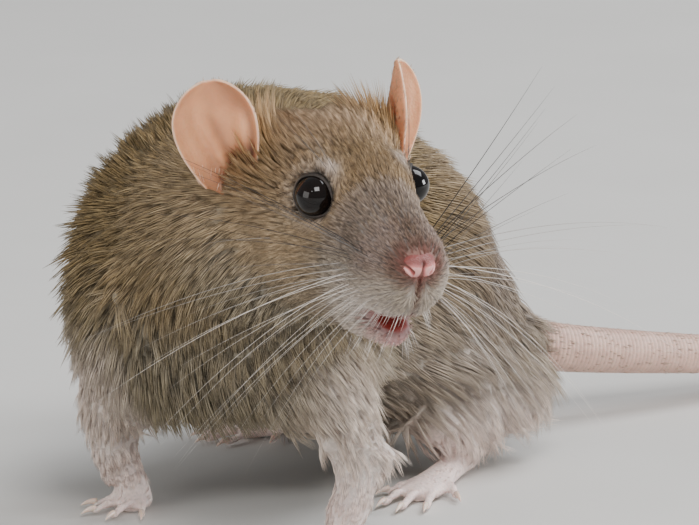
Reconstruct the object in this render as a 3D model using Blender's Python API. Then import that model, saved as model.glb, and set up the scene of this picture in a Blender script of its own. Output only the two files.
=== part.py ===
"""A young brown rat, life size, standing on all fours with its head turned to its left.

The rat faces -Y, its left side is +X, and it stands on the floor at z = 0.  The flesh is
lofted in a few simple forms, fused into one body and then parted by thin cuts where a
person would name its parts.  Eyes, nose, ears and whiskers are pieces of their own.

Sizes are in millimetres and degrees, and reach to the tips of the coat.  The last step
brings every piece to metres and puts the origin under the middle of the model.
"""

from math import copysign, cos, pi, radians, sin, sqrt

import bmesh
import bpy
from mathutils import Matrix, Vector

# ------------------------------------------------------------------ driving dimensions
MILLIMETRE = 0.001
CUT = 0.3                     # width of the thin cut between two neighbouring parts
BODY_GRAIN = 1.3              # voxel size at which the large forms are fused
BODY_SMOOTHING = 14           # rounds of smoothing where they meet
FLESH_GRAIN = 0.5             # voxel size at which the small forms join them
FLESH_SMOOTHING = 3
FLESH_TRIANGLES = 3500        # triangles left in the fused body
SLIVER = 1e-6                 # shortest edge left, in metres
FLUSH_ANGLE = radians(5.0)    # faces bent less than this are joined
SHARP_ANGLE = radians(40.0)   # an edge bent more than this is shaded as an edge

HEAD_TURN = 64.0              # heading of the head, from straight ahead to the rat's left
HEAD_DIP = 7.0                # how far the nose points below level
NOSE_TIP = Vector((62.7, -30.0, 61.9))

EYE_PLACE = (-22.8, 8.7, 5.4)     # forward of the nose tip, to the side, above it
EYE_RADIUS = 3.45

EAR_BASE = (-42.6, 13.6, 1.6)     # in the head's own directions, as the eye's place
EAR_LENGTH = 18.8
EAR_WIDTH = 15.0
EAR_LEAN = (-2.5, 4.6, 18.2)      # direction from the ear's base to its tip
EAR_FACING = 42.0                 # how far the ear's opening turns out from straight ahead
EAR_WALL = 0.8
EAR_CURL = 1.15               # half of the angle through which the ear curls at its base
EAR_WIDEST = 0.62             # share of the ear's length at which it is widest
EAR_BASE_SHARE = 0.55         # width of its base over its greatest width

TAIL_ROOT_RADIUS = 5.3
TAIL_TIP_RADIUS = 0.9

WHISKER_THICKNESS = 0.5

# A station of a loft: x, y, z of its middle, then half width, rise above and drop below.
TRUNK = (
    (-6.5, 92.0, 16.0, 3.0, 4.0, 4.0),
    (-7.0, 89.0, 17.0, 9.0, 12.0, 9.0),
    (-8.3, 82.0, 19.0, 16.5, 21.0, 13.0),
    (-10.4, 73.0, 22.5, 22.0, 28.5, 16.0),
    (-12.4, 60.0, 27.0, 26.0, 34.5, 19.0),
    (-12.1, 43.5, 30.0, 28.0, 41.2, 19.5),
    (-10.9, 26.5, 32.0, 28.5, 44.2, 19.5),
    (-8.0, 11.5, 34.0, 28.5, 43.5, 19.5),
    (-4.9, -2.0, 37.0, 28.0, 38.5, 21.0),
    (-1.9, -12.0, 41.0, 23.5, 28.5, 21.0),
    (0.0, -18.5, 43.0, 13.0, 15.0, 12.0),
    (0.5, -21.0, 43.5, 4.0, 4.0, 4.0),
)
NECK = (
    (-9.0, 14.0, 48.0, 18.0, 22.0, 18.0),
    (-2.0, 1.0, 50.0, 23.0, 24.5, 22.0),
    (8.0, -7.0, 53.5, 22.0, 22.0, 22.0),
    (19.0, -11.5, 58.0, 18.5, 18.0, 19.5),
    (28.0, -15.0, 61.0, 14.0, 14.0, 16.0),
)
# The head's stations: place behind the nose tip, height of the middle above it, then
# half width, rise and drop.
HEAD = (
    (-0.4, -3.4, 1.6, 2.4, 2.4),
    (-1.0, -3.4, 3.8, 4.9, 4.6),
    (-2.6, -3.6, 5.9, 6.8, 6.0),
    (-5.5, -3.8, 7.5, 8.2, 6.9),
    (-9.5, -3.6, 8.1, 9.9, 7.8),
    (-14.5, -3.0, 8.5, 12.0, 10.0),
    (-19.0, -2.6, 9.4, 14.1, 13.0),
    (-24.0, -2.2, 11.2, 15.5, 16.2),
    (-30.0, -2.0, 13.9, 16.6, 18.6),
    (-37.0, -2.0, 15.8, 17.0, 19.8),
    (-44.0, -2.4, 16.2, 16.2, 19.6),
    (-50.0, -3.0, 14.0, 13.5, 16.0),
    (-54.0, -3.5, 8.0, 8.0, 9.0),
)
JAW = (
    (-6.6, -14.9, 1.2, 0.9, 1.0),
    (-7.4, -14.9, 2.4, 1.6, 1.9),
    (-9.0, -14.9, 3.4, 2.0, 2.6),
    (-12.0, -14.5, 4.7, 2.7, 3.3),
    (-17.0, -13.8, 6.6, 4.0, 4.4),
    (-24.0, -12.5, 9.2, 5.0, 6.0),
    (-32.0, -11.0, 11.5, 5.0, 8.0),
)
MOUTH_MIDDLE = (-7.6, 0.0, -12.1)     # the open mouth, a flat hollow between the lips
MOUTH_REACH = (6.2, 3.3, 1.25)
MOUTH_LINE = -12.5                    # height at which the lower jaw parts from the head
JAW_HINGE = -26.0                     # place behind the nose tip where the jaw ends

# Each limb: points from its root to the wrist or ankle, with a radius at each.
FORELEG_RIGHT = (
    ((-15.0, 1.0, 40.0), 12.0),
    ((-22.0, -0.5, 29.0), 11.5),
    ((-26.5, -0.5, 19.5), 8.2),
    ((-27.2, 0.0, 13.5), 6.0),
    ((-26.4, 0.8, 8.8), 4.5),
    ((-25.2, 1.4, 5.6), 3.9),
    ((-24.0, 1.8, 3.4), 3.2),
)
FORELEG_LEFT = (
    ((11.0, 0.0, 40.0), 12.0),
    ((17.5, 2.5, 29.0), 11.0),
    ((22.5, 5.5, 18.5), 7.2),
    ((23.0, 4.5, 11.5), 5.0),
    ((22.6, 2.4, 6.4), 3.7),
    ((22.2, 0.8, 3.4), 3.1),
)
ELBOWS = {
    "left": (Vector((27.0, 8.0, 16.0)), (4.5, 5.5, 4.5)),
    "right": (Vector((-33.5, 4.5, 12.8)), (5.0, 5.0, 5.0)),
}
HAUNCHES = {
    "left": (Vector((0.0, 58.0, 27.0)), (15.5, 22.0, 18.5)),
    "right": (Vector((-25.0, 66.0, 27.0)), (15.5, 22.0, 18.5)),
}
HOCKS = {
    "left": (Vector((8.0, 66.5, 14.5)), (11.5, 14.0, 11.2)),
    "right": (Vector((-30.0, 78.0, 14.5)), (10.0, 13.0, 11.2)),
}
SHANKS = {
    "left": (((4.0, 46.0, 17.0), 9.5), ((8.0, 52.0, 11.0), 7.5), ((8.2, 56.0, 6.0), 4.6), ((8.0, 56.0, 3.6), 3.6)),
    "right": (((-33.0, 55.0, 17.0), 9.5), ((-33.5, 66.0, 11.0), 7.5), ((-32.0, 71.0, 6.0), 4.6),
              ((-31.8, 72.0, 3.6), 3.6)),
}

# Feet: where the wrist or heel is on the floor, and the heading of the toes from straight
# ahead, positive to the rat's left.
FOOT_PLACES = {
    "forefoot_left": ((22.2, 2.4), 10.0),
    "forefoot_right": ((-22.8, 4.0), -4.0),
    "hindfoot_left": ((7.2, 58.0), 15.0),
    "hindfoot_right": ((-31.0, 75.0), -20.0),
}
# A toe: fan angle, place along the foot and to the side where it leaves it, its length.
FORE_TOES = ((-42.0, 3.6, -2.6, 5.2), (-15.0, 5.2, -1.1, 6.4), (12.0, 5.3, 1.0, 6.4), (40.0, 3.7, 2.6, 5.4))
HIND_TOES = (
    (-34.0, 17.0, -3.0, 6.4),
    (-10.0, 21.0, -2.3, 9.4),
    (1.0, 22.0, 0.0, 10.0),
    (12.0, 21.0, 2.3, 9.4),
    (36.0, 16.0, 3.0, 6.6),
)

TAIL = (
    (-9.0, 82.0, 17.0),
    (-5.8, 90.0, 15.6),
    (0.0, 101.0, 13.2),
    (7.5, 118.0, 10.2),
    (14.6, 137.0, 7.2),
    (19.0, 157.0, 4.6),
    (18.0, 178.0, 3.0),
    (11.0, 198.0, 2.1),
    (1.5, 215.0, 1.5),
    (-4.0, 230.0, 1.0),
)
TAIL_CUTS = (0.20, 0.42, 0.64, 0.82)   # shares of the tail at which its lengths are parted

# The longest whiskers of each side: root, way point and tip, in the head's directions, as
# forward of the nose tip, out to the side and above it.
WHISKERS = {
    "left": (
        ((-9.4, 7.4, -2.6), (-10.6, 15.0, 11.0), (-12.0, 19.5, 24.0)),
        ((-9.4, 7.4, -3.4), (-10.8, 26.0, 8.0), (-12.0, 45.0, 15.5)),
        ((-8.6, 7.4, -4.2), (-4.0, 29.0, -2.0), (1.0, 49.0, -11.5)),
        ((-8.2, 7.4, -5.0), (-6.0, 24.0, -9.0), (-5.0, 36.5, -22.0)),
        ((-8.6, 7.4, -5.4), (-10.5, 18.0, -12.0), (-13.0, 26.0, -23.0)),
    ),
    "right": (
        ((-9.4, 7.4, -2.6), (-16.0, 17.0, 6.5), (-25.0, 24.0, 15.0)),
        ((-9.4, 7.4, -3.4), (-15.5, 22.0, 1.5), (-24.0, 35.0, 3.0)),
        ((-8.8, 7.4, -4.2), (-18.0, 23.0, -7.0), (-30.0, 34.5, -18.0)),
        ((-8.6, 7.4, -5.0), (-13.5, 17.0, -15.0), (-20.0, 24.0, -32.0)),
        ((-8.4, 7.4, -5.4), (-10.0, 12.5, -12.0), (-12.0, 15.0, -21.0)),
    ),
}
WHISKER_PAD = (-8.6, 7.6, -4.2)
WHISKER_PAD_RADII = (2.8, 2.0, 3.8)

WORLD_AXES = ((1, 0, 0), (0, 1, 0), (0, 0, 1))
TAIL_PRESS = 0.2              # how far the laid tail is pressed flat on the floor
TAIL_BLADE = 8.0              # radius of the blade that parts the tail's lengths
NOSE_MIDDLE = (-1.6, 0.0, -0.4)
NOSE_REACH = (2.2, 3.3, 2.9)

# Where the parts are cut: the wrists and heels as (middle, direction to the foot, radius).
WRISTS = {
    "forefoot_left": ((22.5, 1.8, 5.3), (-0.1, -0.35, -1.0), 6.5),
    "forefoot_right": ((-25.2, 1.5, 5.8), (0.35, 0.1, -1.0), 7.0),
}
HINDFOOT_REGION = 13.0        # how far ahead of the heel the region of a hind foot is centred
HINDFOOT_REACH = (23.5, 12.0, 6.6)
LIMB_REGIONS = {
    "foreleg_left": (Vector((26.0, 3.0, 21.0)), (12.0, 14.0, 20.0)),
    "foreleg_right": (Vector((-32.5, 3.0, 21.0)), (13.0, 14.0, 20.0)),
    "hindleg_left": (Vector((9.5, 59.0, 23.5)), (13.5, 25.0, 23.5)),
    "hindleg_right": (Vector((-36.0, 69.5, 23.5)), (13.5, 25.0, 23.5)),
}
HEAD_REGION = (-22.0, 0.0, -2.0)      # the round region that parts the head from the neck
HEAD_REGION_REACH = (31.0, 28.0, 27.0)
NECK_CUT = (6.0, -7.0, 50.0)
NECK_HEADING = (0.62, -0.70, 0.25)
CHEST_CUT = (-6.0, 12.0, 40.0)
RUMP_CUT = (-12.0, 50.0, 40.0)
TRUNK_BLADE = 90.0

FINISHES = {
    "head": ((0.20, 0.155, 0.115), 0.9),
    "neck": ((0.19, 0.15, 0.10), 0.9),
    "chest": ((0.24, 0.20, 0.15), 0.9),
    "belly": ((0.17, 0.135, 0.085), 0.9),
    "rump": ((0.20, 0.165, 0.12), 0.9),
    "foreleg": ((0.36, 0.31, 0.27), 0.9),
    "hindleg": ((0.25, 0.21, 0.17), 0.9),
    "forefoot": ((0.62, 0.48, 0.45), 0.6),
    "hindfoot": ((0.60, 0.45, 0.43), 0.6),
    "tail": ((0.42, 0.33, 0.28), 0.6),
    "lower_jaw": ((0.40, 0.27, 0.25), 0.7),
    "nose": ((0.55, 0.27, 0.25), 0.4),
    "eye": ((0.006, 0.006, 0.006), 0.05),
    "ear": ((0.50, 0.30, 0.22), 0.6),
    "whiskers": ((0.45, 0.42, 0.38), 0.6),
}

# ------------------------------------------------------------------ the head's directions
TURN, DIP = radians(HEAD_TURN), radians(HEAD_DIP)
HEAD_AHEAD = Vector((sin(TURN) * cos(DIP), -cos(TURN) * cos(DIP), -sin(DIP)))
HEAD_LEFT = Vector((cos(TURN), sin(TURN), 0.0))
HEAD_UP = HEAD_LEFT.cross(-HEAD_AHEAD)
UP = Vector((0.0, 0.0, 1.0))
AHEAD = Vector((0.0, -1.0, 0.0))


def head_point(ahead, left, up):
    """The place of a point given in the head's own directions from the nose tip."""
    return NOSE_TIP + ahead * HEAD_AHEAD + left * HEAD_LEFT + up * HEAD_UP


# ------------------------------------------------------------------ making and joining
def new_object(name, fill):
    """A new object whose mesh is what fill leaves in an empty bmesh."""
    mesh = bpy.data.meshes.new(name)
    bm = bmesh.new()
    fill(bm)
    bmesh.ops.recalc_face_normals(bm, faces=bm.faces)
    bm.to_mesh(mesh)
    bm.free()
    obj = bpy.data.objects.new(name, mesh)
    bpy.context.scene.collection.objects.link(obj)
    return obj


def remove(obj):
    """Take a helper object and its mesh out of the scene."""
    mesh = obj.data
    bpy.data.objects.remove(obj)
    bpy.data.meshes.remove(mesh)


def copy_of(obj, name):
    """A second object with its own copy of the mesh."""
    twin = bpy.data.objects.new(name, obj.data.copy())
    bpy.context.scene.collection.objects.link(twin)
    return twin


def join(name, objects):
    """One object that holds the meshes of several, which go."""
    def fill(bm):
        for obj in objects:
            bm.from_mesh(obj.data)
    joined = new_object(name, fill)
    for obj in objects:
        remove(obj)
    return joined


def bake_modifiers(obj):
    """Give the object the mesh that its modifiers make, and drop the modifiers."""
    bpy.context.view_layer.update()
    graph = bpy.context.evaluated_depsgraph_get()
    mesh = bpy.data.meshes.new_from_object(obj.evaluated_get(graph))
    obj.modifiers.clear()
    old = obj.data
    obj.data = mesh
    bpy.data.meshes.remove(old)


def boolean(obj, tool, operation):
    """Change an object by another one with an exact Boolean."""
    modifier = obj.modifiers.new("boolean", "BOOLEAN")
    modifier.operation = operation
    modifier.solver = "EXACT"
    modifier.object = tool
    bake_modifiers(obj)


def fuse(obj, grain, smoothing):
    """Fuse overlapping forms into one body with rounded meetings."""
    remesh = obj.modifiers.new("fuse", "REMESH")
    remesh.mode = "VOXEL"
    remesh.voxel_size = grain
    relax = obj.modifiers.new("relax", "SMOOTH")
    relax.factor = 0.5
    relax.iterations = smoothing
    bake_modifiers(obj)


def thin_out(obj, triangles):
    """Collapse edges until about so many triangles are left."""
    thin = obj.modifiers.new("thin", "DECIMATE")
    thin.ratio = triangles / (2.0 * len(obj.data.polygons))
    thin.use_collapse_triangulate = True
    bake_modifiers(obj)


def swell(obj, distance):
    """Push every point out along its normal."""
    bm = bmesh.new()
    bm.from_mesh(obj.data)
    bm.normal_update()
    for vert in bm.verts:
        vert.co += distance * vert.normal
    bm.to_mesh(obj.data)
    bm.free()


# ------------------------------------------------------------------ basic forms
def smooth_rows(rows, steps):
    """Rows of numbers along a smooth curve through the given ones (Catmull-Rom)."""
    knots = [Vector(row) for row in rows]
    ends = [2 * knots[0] - knots[1]] + knots + [2 * knots[-1] - knots[-2]]
    path = []
    for a, b, c, d in zip(ends, ends[1:], ends[2:], ends[3:]):
        for i in range(steps):
            t = i / steps
            path.append(0.5 * (2 * b + (c - a) * t + (2 * a - 5 * b + 4 * c - d) * t * t
                               + (3 * b - 3 * c + d - a) * t ** 3))
    return path + [knots[-1]]


def path_directions(points):
    """The direction of travel at each point of a path."""
    last = len(points) - 1
    return [(points[min(i + 1, last)] - points[max(i - 1, 0)]).normalized() for i in range(last + 1)]


def loft(name, rings):
    """Close a skin over rings of points: quads along the sides and a flat cap at each end."""
    def fill(bm):
        loops = [[bm.verts.new(point) for point in ring] for ring in rings]
        count = len(rings[0])
        for first, second in zip(loops, loops[1:]):
            for i in range(count):
                j = (i + 1) % count
                bm.faces.new((first[i], first[j], second[j], second[i]))
        bm.faces.new(loops[0])
        bm.faces.new(loops[-1])
    return new_object(name, fill)


def egg_ring(centre, side, up, sizes, sides=36, fullness=2.2):
    """An egg-shaped ring: its half width, then its own rise above and drop below."""
    half_width, rise, drop = sizes
    points = []
    for i in range(sides):
        angle = 2.0 * pi * i / sides
        across = copysign(abs(cos(angle)) ** (2.0 / fullness), cos(angle))
        height = copysign(abs(sin(angle)) ** (2.0 / fullness), sin(angle))
        points.append(centre + half_width * across * side + (rise if height > 0 else drop) * height * up)
    return points


def body_loft(name, stations):
    """A loft over stations (x, y, z, half width, rise, drop), each upright and square to the path."""
    rows = [tuple(station[:3]) for station in stations]
    sizes = [tuple(station[3:]) for station in stations]
    centres = smooth_rows(rows, 4)
    spans = smooth_rows(sizes, 4)
    level = [Vector((point.x, point.y, 0.0)) for point in centres]
    rings = []
    for centre, along, span in zip(centres, path_directions(level), spans):
        rings.append(egg_ring(centre, along.cross(UP).normalized(), UP, span))
    return loft(name, rings)


def head_loft(name, stations):
    """A loft over stations (place ahead of the nose tip, height, half width, rise, drop)."""
    places = smooth_rows([(place, height, 0.0) for place, height, *_ in stations], 4)
    spans = smooth_rows([tuple(sizes) for _, _, *sizes in stations], 4)
    rings = []
    for place, span in zip(places, spans):
        rings.append(egg_ring(head_point(place.x, 0.0, place.y), HEAD_LEFT, HEAD_UP, span))
    return loft(name, rings)


def round_loft(name, points, radii, sides=16, flatness=1.0):
    """A tube through points with a radius at each; flatness squashes its height."""
    rings = []
    for centre, along, radius in zip(points, path_directions(points), radii):
        side = along.cross(UP if abs(along.z) < 0.9 else AHEAD).normalized()
        up = side.cross(along).normalized()
        ring = []
        for i in range(sides):
            angle = 2.0 * pi * i / sides
            ring.append(centre + radius * (cos(angle) * side + flatness * sin(angle) * up))
        rings.append(ring)
    return loft(name, rings)


def limb_loft(name, stations):
    """A tube over stations of ((x, y, z), radius)."""
    rows = smooth_rows([(*place, radius) for place, radius in stations], 3)
    return round_loft(name, [Vector(row[:3]) for row in rows], [row[3] for row in rows], sides=20)


def ball(name, centre, radii, axes=None, segments=16, rings=9):
    """An ellipsoid with its own radii along three axes, the world's when none are given."""
    turn = Matrix(axes or ((1, 0, 0), (0, 1, 0), (0, 0, 1))).transposed().to_4x4()
    shape = Matrix.Translation(centre) @ turn @ Matrix.Diagonal((*radii, 1.0))

    def fill(bm):
        bmesh.ops.create_uvsphere(bm, u_segments=segments, v_segments=rings, radius=1.0, matrix=shape)
    return new_object(name, fill)


def block(name, low, high, axes, origin):
    """A box between two corners given along three axes from an origin."""
    turn = Matrix(axes).transposed().to_4x4()
    low, high = Vector(low), Vector(high)
    size = high - low
    shape = Matrix.Translation(origin) @ turn @ Matrix.Translation((low + high) / 2) @ Matrix.Diagonal((*size, 1.0))

    def fill(bm):
        bmesh.ops.create_cube(bm, size=1.0, matrix=shape)
    return new_object(name, fill)


# ------------------------------------------------------------------ parting the body
def islands(bm):
    """The groups of vertices that hang together in a bmesh."""
    seen, groups = set(), []
    for start in bm.verts:
        if start in seen:
            continue
        group, stack = set(), [start]
        while stack:
            vert = stack.pop()
            if vert not in group:
                group.add(vert)
                stack.extend(edge.other_vert(vert) for edge in vert.link_edges)
        seen |= group
        groups.append(group)
    return groups


def move_island(body, name, choose):
    """Move the island that choose picks out of a body into a node of its own."""
    node = copy_of(body, name)
    for obj, moved in ((node, True), (body, False)):
        bm = bmesh.new()
        bm.from_mesh(obj.data)
        chosen = choose(islands(bm))
        bmesh.ops.delete(bm, geom=[vert for vert in bm.verts if (vert in chosen) != moved], context="VERTS")
        bm.to_mesh(obj.data)
        bm.free()
    return node


def keep_largest(obj):
    """Keep of an object only its largest island."""
    bm = bmesh.new()
    bm.from_mesh(obj.data)
    largest = max(islands(bm), key=len)
    bmesh.ops.delete(bm, geom=[vert for vert in bm.verts if vert not in largest], context="VERTS")
    bm.to_mesh(obj.data)
    bm.free()


def take_out(body, name, region):
    """Part from the body what lies in a region, with a thin cut all round it."""
    node = copy_of(body, name)
    boolean(node, region, "INTERSECT")
    keep_largest(node)
    swell(region, CUT)
    boolean(body, region, "DIFFERENCE")
    keep_largest(body)
    remove(region)
    return node


def slice_off(body, name, centre, direction, radius):
    """Part from the body what lies ahead of a thin round blade set square to a direction."""
    turn = direction.to_track_quat("Z", "Y").to_matrix().to_4x4()
    place = Matrix.Translation(centre) @ turn

    def fill(bm):
        bmesh.ops.create_cone(bm, cap_ends=True, segments=24, radius1=radius, radius2=radius,
                              depth=CUT, matrix=place)
    blade = new_object("blade", fill)
    boolean(body, blade, "DIFFERENCE")
    remove(blade)

    def furthest_ahead(groups):
        def distance(group):
            middle = sum((vert.co for vert in group), Vector()) / len(group)
            return (middle - centre).dot(direction)
        if len(groups) < 2:
            raise ValueError("the blade at %s does not part the body" % name)
        return max(groups, key=distance)
    return move_island(body, name, furthest_ahead)


# ------------------------------------------------------------------ forms of the body
def foot_directions(name):
    """Where a foot's wrist or heel is on the floor, its way ahead and its way to the left."""
    (x, y), heading = FOOT_PLACES[name]
    turn = radians(heading)
    return Vector((x, y, 0.0)), Vector((sin(turn), -cos(turn), 0.0)), Vector((cos(turn), sin(turn), 0.0))


def foot_forms(name, toes, width, height, drop_to_toes):
    """Sole, toes and claws of one foot, each a form of its own, standing a little into the floor."""
    heel, ahead, left = foot_directions(name)
    sole_length = max(toe[1] for toe in toes)
    rows = []
    for share, spread in ((0.0, 0.30), (0.06, 0.56), (0.3, 0.62), (0.6, 0.74), (0.85, 0.98), (1.0, 0.86), (1.1, 0.5)):
        rise = height * (1.0 - drop_to_toes * share)
        rows.append((heel + share * sole_length * ahead + 0.4 * rise * UP, (0.5 * width * spread, 0.6 * rise, 0.5 * rise)))
    forms = [loft("sole", [egg_ring(centre, left, UP, sizes, sides=20) for centre, sizes in rows])]
    for fan, along, aside, reach in toes:
        way = cos(radians(fan)) * ahead + sin(radians(fan)) * left
        root = heel + along * ahead + aside * left + 1.3 * UP
        profile = ((-0.2, 0.1, 1.2), (0.2, 0.3, 1.15), (0.55, 0.15, 0.95), (0.85, -0.2, 1.05), (1.0, -0.35, 0.7))
        points = [root + share * reach * way + lift * UP for share, lift, _ in profile]
        forms.append(round_loft("toe", points, [radius for *_, radius in profile], sides=12))
        claw = root + reach * way
        points = [claw - 0.6 * way, claw + 0.9 * way + 0.1 * UP, claw + 2.1 * way - 0.45 * UP]
        forms.append(round_loft("claw", points, [0.55, 0.5, 0.32], sides=8))
    return forms


def tail_course():
    """Points along the tail, and the radius at each."""
    points = smooth_rows(TAIL, 5)
    last = len(points) - 1
    radii = [TAIL_TIP_RADIUS + (TAIL_ROOT_RADIUS - TAIL_TIP_RADIUS) * (1.0 - i / last) ** 1.1
             for i in range(last + 1)]
    for point, radius in zip(points, radii):
        point.z = max(point.z, radius - TAIL_PRESS)
    return points, radii


def build_flesh():
    """The whole body as one solid: trunk, neck, head, jaw, limbs, feet and tail."""
    forms = [
        body_loft("trunk", TRUNK),
        body_loft("neck", NECK),
        head_loft("head", HEAD),
        limb_loft("foreleg_right", FORELEG_RIGHT),
        limb_loft("foreleg_left", FORELEG_LEFT),
    ]
    for side in ("left", "right"):
        forms += [ball("muscle", *muscle[side]) for muscle in (ELBOWS, HAUNCHES, HOCKS)]
    rounded = join("rounded", forms)
    fuse(rounded, BODY_GRAIN, BODY_SMOOTHING)
    forms = [
        rounded,
        head_loft("muzzle", [row for row in HEAD if row[0] > -32.0]),
        head_loft("jaw", JAW),
        limb_loft("shin_right", FORELEG_RIGHT[2:]),
        limb_loft("shin_left", FORELEG_LEFT[2:]),
    ]
    for side, stations in SHANKS.items():
        forms.append(limb_loft("shank_" + side, stations))
        forms += foot_forms("forefoot_" + side, FORE_TOES, 8.4, 4.6, 0.35)
        forms += foot_forms("hindfoot_" + side, HIND_TOES, 9.0, 6.0, 0.5)
    forms.append(round_loft("tail", *tail_course()))
    body = join("body", forms)
    fuse(body, FLESH_GRAIN, FLESH_SMOOTHING)
    thin_out(body, FLESH_TRIANGLES)
    floor = block("floor", (-200, -200, -20), (200, 300, 0), WORLD_AXES, (0, 0, 0))
    boolean(body, floor, "DIFFERENCE")
    remove(floor)
    keep_largest(body)
    return body


def part_body(body):
    """Part the body into its named nodes."""
    nodes = {}
    for name, (centre, direction, radius) in WRISTS.items():
        nodes[name] = slice_off(body, name, Vector(centre), Vector(direction).normalized(), radius)
    points, _ = tail_course()
    for number in range(len(TAIL_CUTS), 0, -1):
        at = round(TAIL_CUTS[number - 1] * (len(points) - 1))
        along = (points[at + 1] - points[at - 1]).normalized()
        name = "tail_%d" % number
        nodes[name] = slice_off(body, name, points[at], along, TAIL_BLADE)
    for name in ("hindfoot_left", "hindfoot_right"):
        place, ahead, left = foot_directions(name)
        region = ball("region", place + HINDFOOT_REGION * ahead, HINDFOOT_REACH, (ahead, left, UP))
        nodes[name] = take_out(body, name, region)
    for name, (centre, reach) in LIMB_REGIONS.items():
        nodes[name] = take_out(body, name, ball("region", centre, reach))
    axes = (HEAD_AHEAD, HEAD_LEFT, HEAD_UP)
    nodes["head"] = take_out(body, "head", ball("region", head_point(*HEAD_REGION), HEAD_REGION_REACH, axes))
    nodes["neck"] = slice_off(body, "neck", Vector(NECK_CUT), Vector(NECK_HEADING).normalized(), TRUNK_BLADE)
    nodes["chest"] = slice_off(body, "chest", Vector(CHEST_CUT), AHEAD, TRUNK_BLADE)
    nodes["rump"] = slice_off(body, "rump", Vector(RUMP_CUT), -AHEAD, TRUNK_BLADE)
    body.name = "belly"
    nodes["belly"] = body
    return nodes


# ------------------------------------------------------------------ the head's own pieces
def side_point(place, side):
    """A point of the head given ahead, out to one side and up; side is 1 left, -1 right."""
    ahead, out, up = place
    return head_point(ahead, side * out, up)


def build_ear(name, side):
    """A thin cupped ear: a rounded leaf curled about its own length, given a wall."""
    length_way = (EAR_LEAN[0] * HEAD_AHEAD + side * EAR_LEAN[1] * HEAD_LEFT + EAR_LEAN[2] * HEAD_UP).normalized()
    facing = radians(EAR_FACING)
    open_way = cos(facing) * HEAD_AHEAD + side * sin(facing) * HEAD_LEFT
    open_way = (open_way - open_way.dot(length_way) * length_way).normalized()
    out_way = side * length_way.cross(open_way)
    base = side_point(EAR_BASE, side)
    columns, rows = 8, 7

    def point(across, share):
        half_width = 0.5 * EAR_WIDTH * ear_outline(share)
        curl = EAR_CURL * (1.0 - 0.45 * share)
        angle = across * curl
        reach = half_width / sin(curl) if curl else half_width
        sideways = reach * sin(angle)
        depth = reach * (1.0 - cos(angle))
        return base + share * EAR_LENGTH * length_way + sideways * out_way + depth * open_way

    def fill(bm):
        grid = []
        for j in range(rows + 1):
            share = 1.0 - (1.0 - j / rows) ** 1.6
            grid.append([bm.verts.new(point(2.0 * i / columns - 1.0, min(share, 0.995))) for i in range(columns + 1)])
        for low, high in zip(grid, grid[1:]):
            for i in range(columns):
                bm.faces.new((low[i], low[i + 1], high[i + 1], high[i]))
    ear = new_object(name, fill)
    wall = ear.modifiers.new("wall", "SOLIDIFY")
    wall.thickness = EAR_WALL
    wall.offset = 0.0
    wall.use_even_offset = False
    bake_modifiers(ear)
    return ear


def ear_outline(share):
    """Half width of the ear, from 0 to 1, at a share of its length from base to tip."""
    if share < EAR_WIDEST:
        grow = share / EAR_WIDEST
        return EAR_BASE_SHARE + (1.0 - EAR_BASE_SHARE) * sin(grow * pi / 2.0)
    fall = (share - EAR_WIDEST) / (1.0 - EAR_WIDEST)
    return sqrt(1.0 - fall * fall)


def build_whiskers(side_name, side):
    """The pad of one side of the muzzle with its longest whiskers."""
    pad = ball("whiskers_" + side_name, side_point(WHISKER_PAD, side), WHISKER_PAD_RADII, (HEAD_AHEAD, HEAD_LEFT, HEAD_UP), 10, 6)
    for course in WHISKERS[side_name]:
        points = smooth_rows([side_point(place, side) for place in course], 4)
        radii = [0.5 * WHISKER_THICKNESS] * len(points)
        whisker = round_loft("whisker", points, radii, sides=5)
        boolean(pad, whisker, "UNION")
        remove(whisker)
    return pad


def dress_head(nodes):
    """Eyes in their sockets, the nose pad, the open mouth with the lower jaw, ears and whiskers."""
    head = nodes["head"]
    axes = (HEAD_AHEAD, HEAD_LEFT, HEAD_UP)
    mouth = ball("mouth", head_point(*MOUTH_MIDDLE), MOUTH_REACH, axes, 20, 10)
    boolean(head, mouth, "DIFFERENCE")
    remove(mouth)
    region = block("region", (JAW_HINGE, -20, -30), (5, 20, MOUTH_LINE), axes, NOSE_TIP)
    nodes["lower_jaw"] = take_out(head, "lower_jaw", region)
    pieces = {"nose": ball("nose", head_point(*NOSE_MIDDLE), NOSE_REACH, axes, 14, 8)}
    for side_name, side in (("left", 1), ("right", -1)):
        radii = (EYE_RADIUS, EYE_RADIUS, EYE_RADIUS)
        pieces["eye_" + side_name] = ball("eye_" + side_name, side_point(EYE_PLACE, side), radii, axes, 14, 8)
    for piece in pieces.values():
        hollow = copy_of(piece, "hollow")
        swell(hollow, CUT)
        boolean(head, hollow, "DIFFERENCE")
        remove(hollow)
    keep_largest(head)
    skull = copy_of(head, "skull")
    swell(skull, CUT)
    for side_name, side in (("left", 1), ("right", -1)):
        pieces["ear_" + side_name] = build_ear("ear_" + side_name, side)
        pieces["whiskers_" + side_name] = build_whiskers(side_name, side)
        for kind in ("ear_", "whiskers_"):
            boolean(pieces[kind + side_name], skull, "DIFFERENCE")
            keep_largest(pieces[kind + side_name])
    remove(skull)
    nodes.update(pieces)


# ------------------------------------------------------------------ finishing
def finish(nodes):
    """Bring the nodes to metres, with the origin under the middle of the model, and colour them."""
    points = [vert.co for obj in nodes.values() for vert in obj.data.vertices]
    low = [min(point[i] for point in points) for i in range(3)]
    high = [max(point[i] for point in points) for i in range(3)]
    shift = Matrix.Translation((-(low[0] + high[0]) / 2, -(low[1] + high[1]) / 2, -low[2]))
    scale = Matrix.Scale(MILLIMETRE, 4)
    for name, obj in nodes.items():
        obj.name = name
        obj.data.name = name
        obj.data.transform(scale @ shift)
        tidy_faces(obj)
        obj.data.materials.clear()
        obj.data.materials.append(material_for(name))


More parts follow.
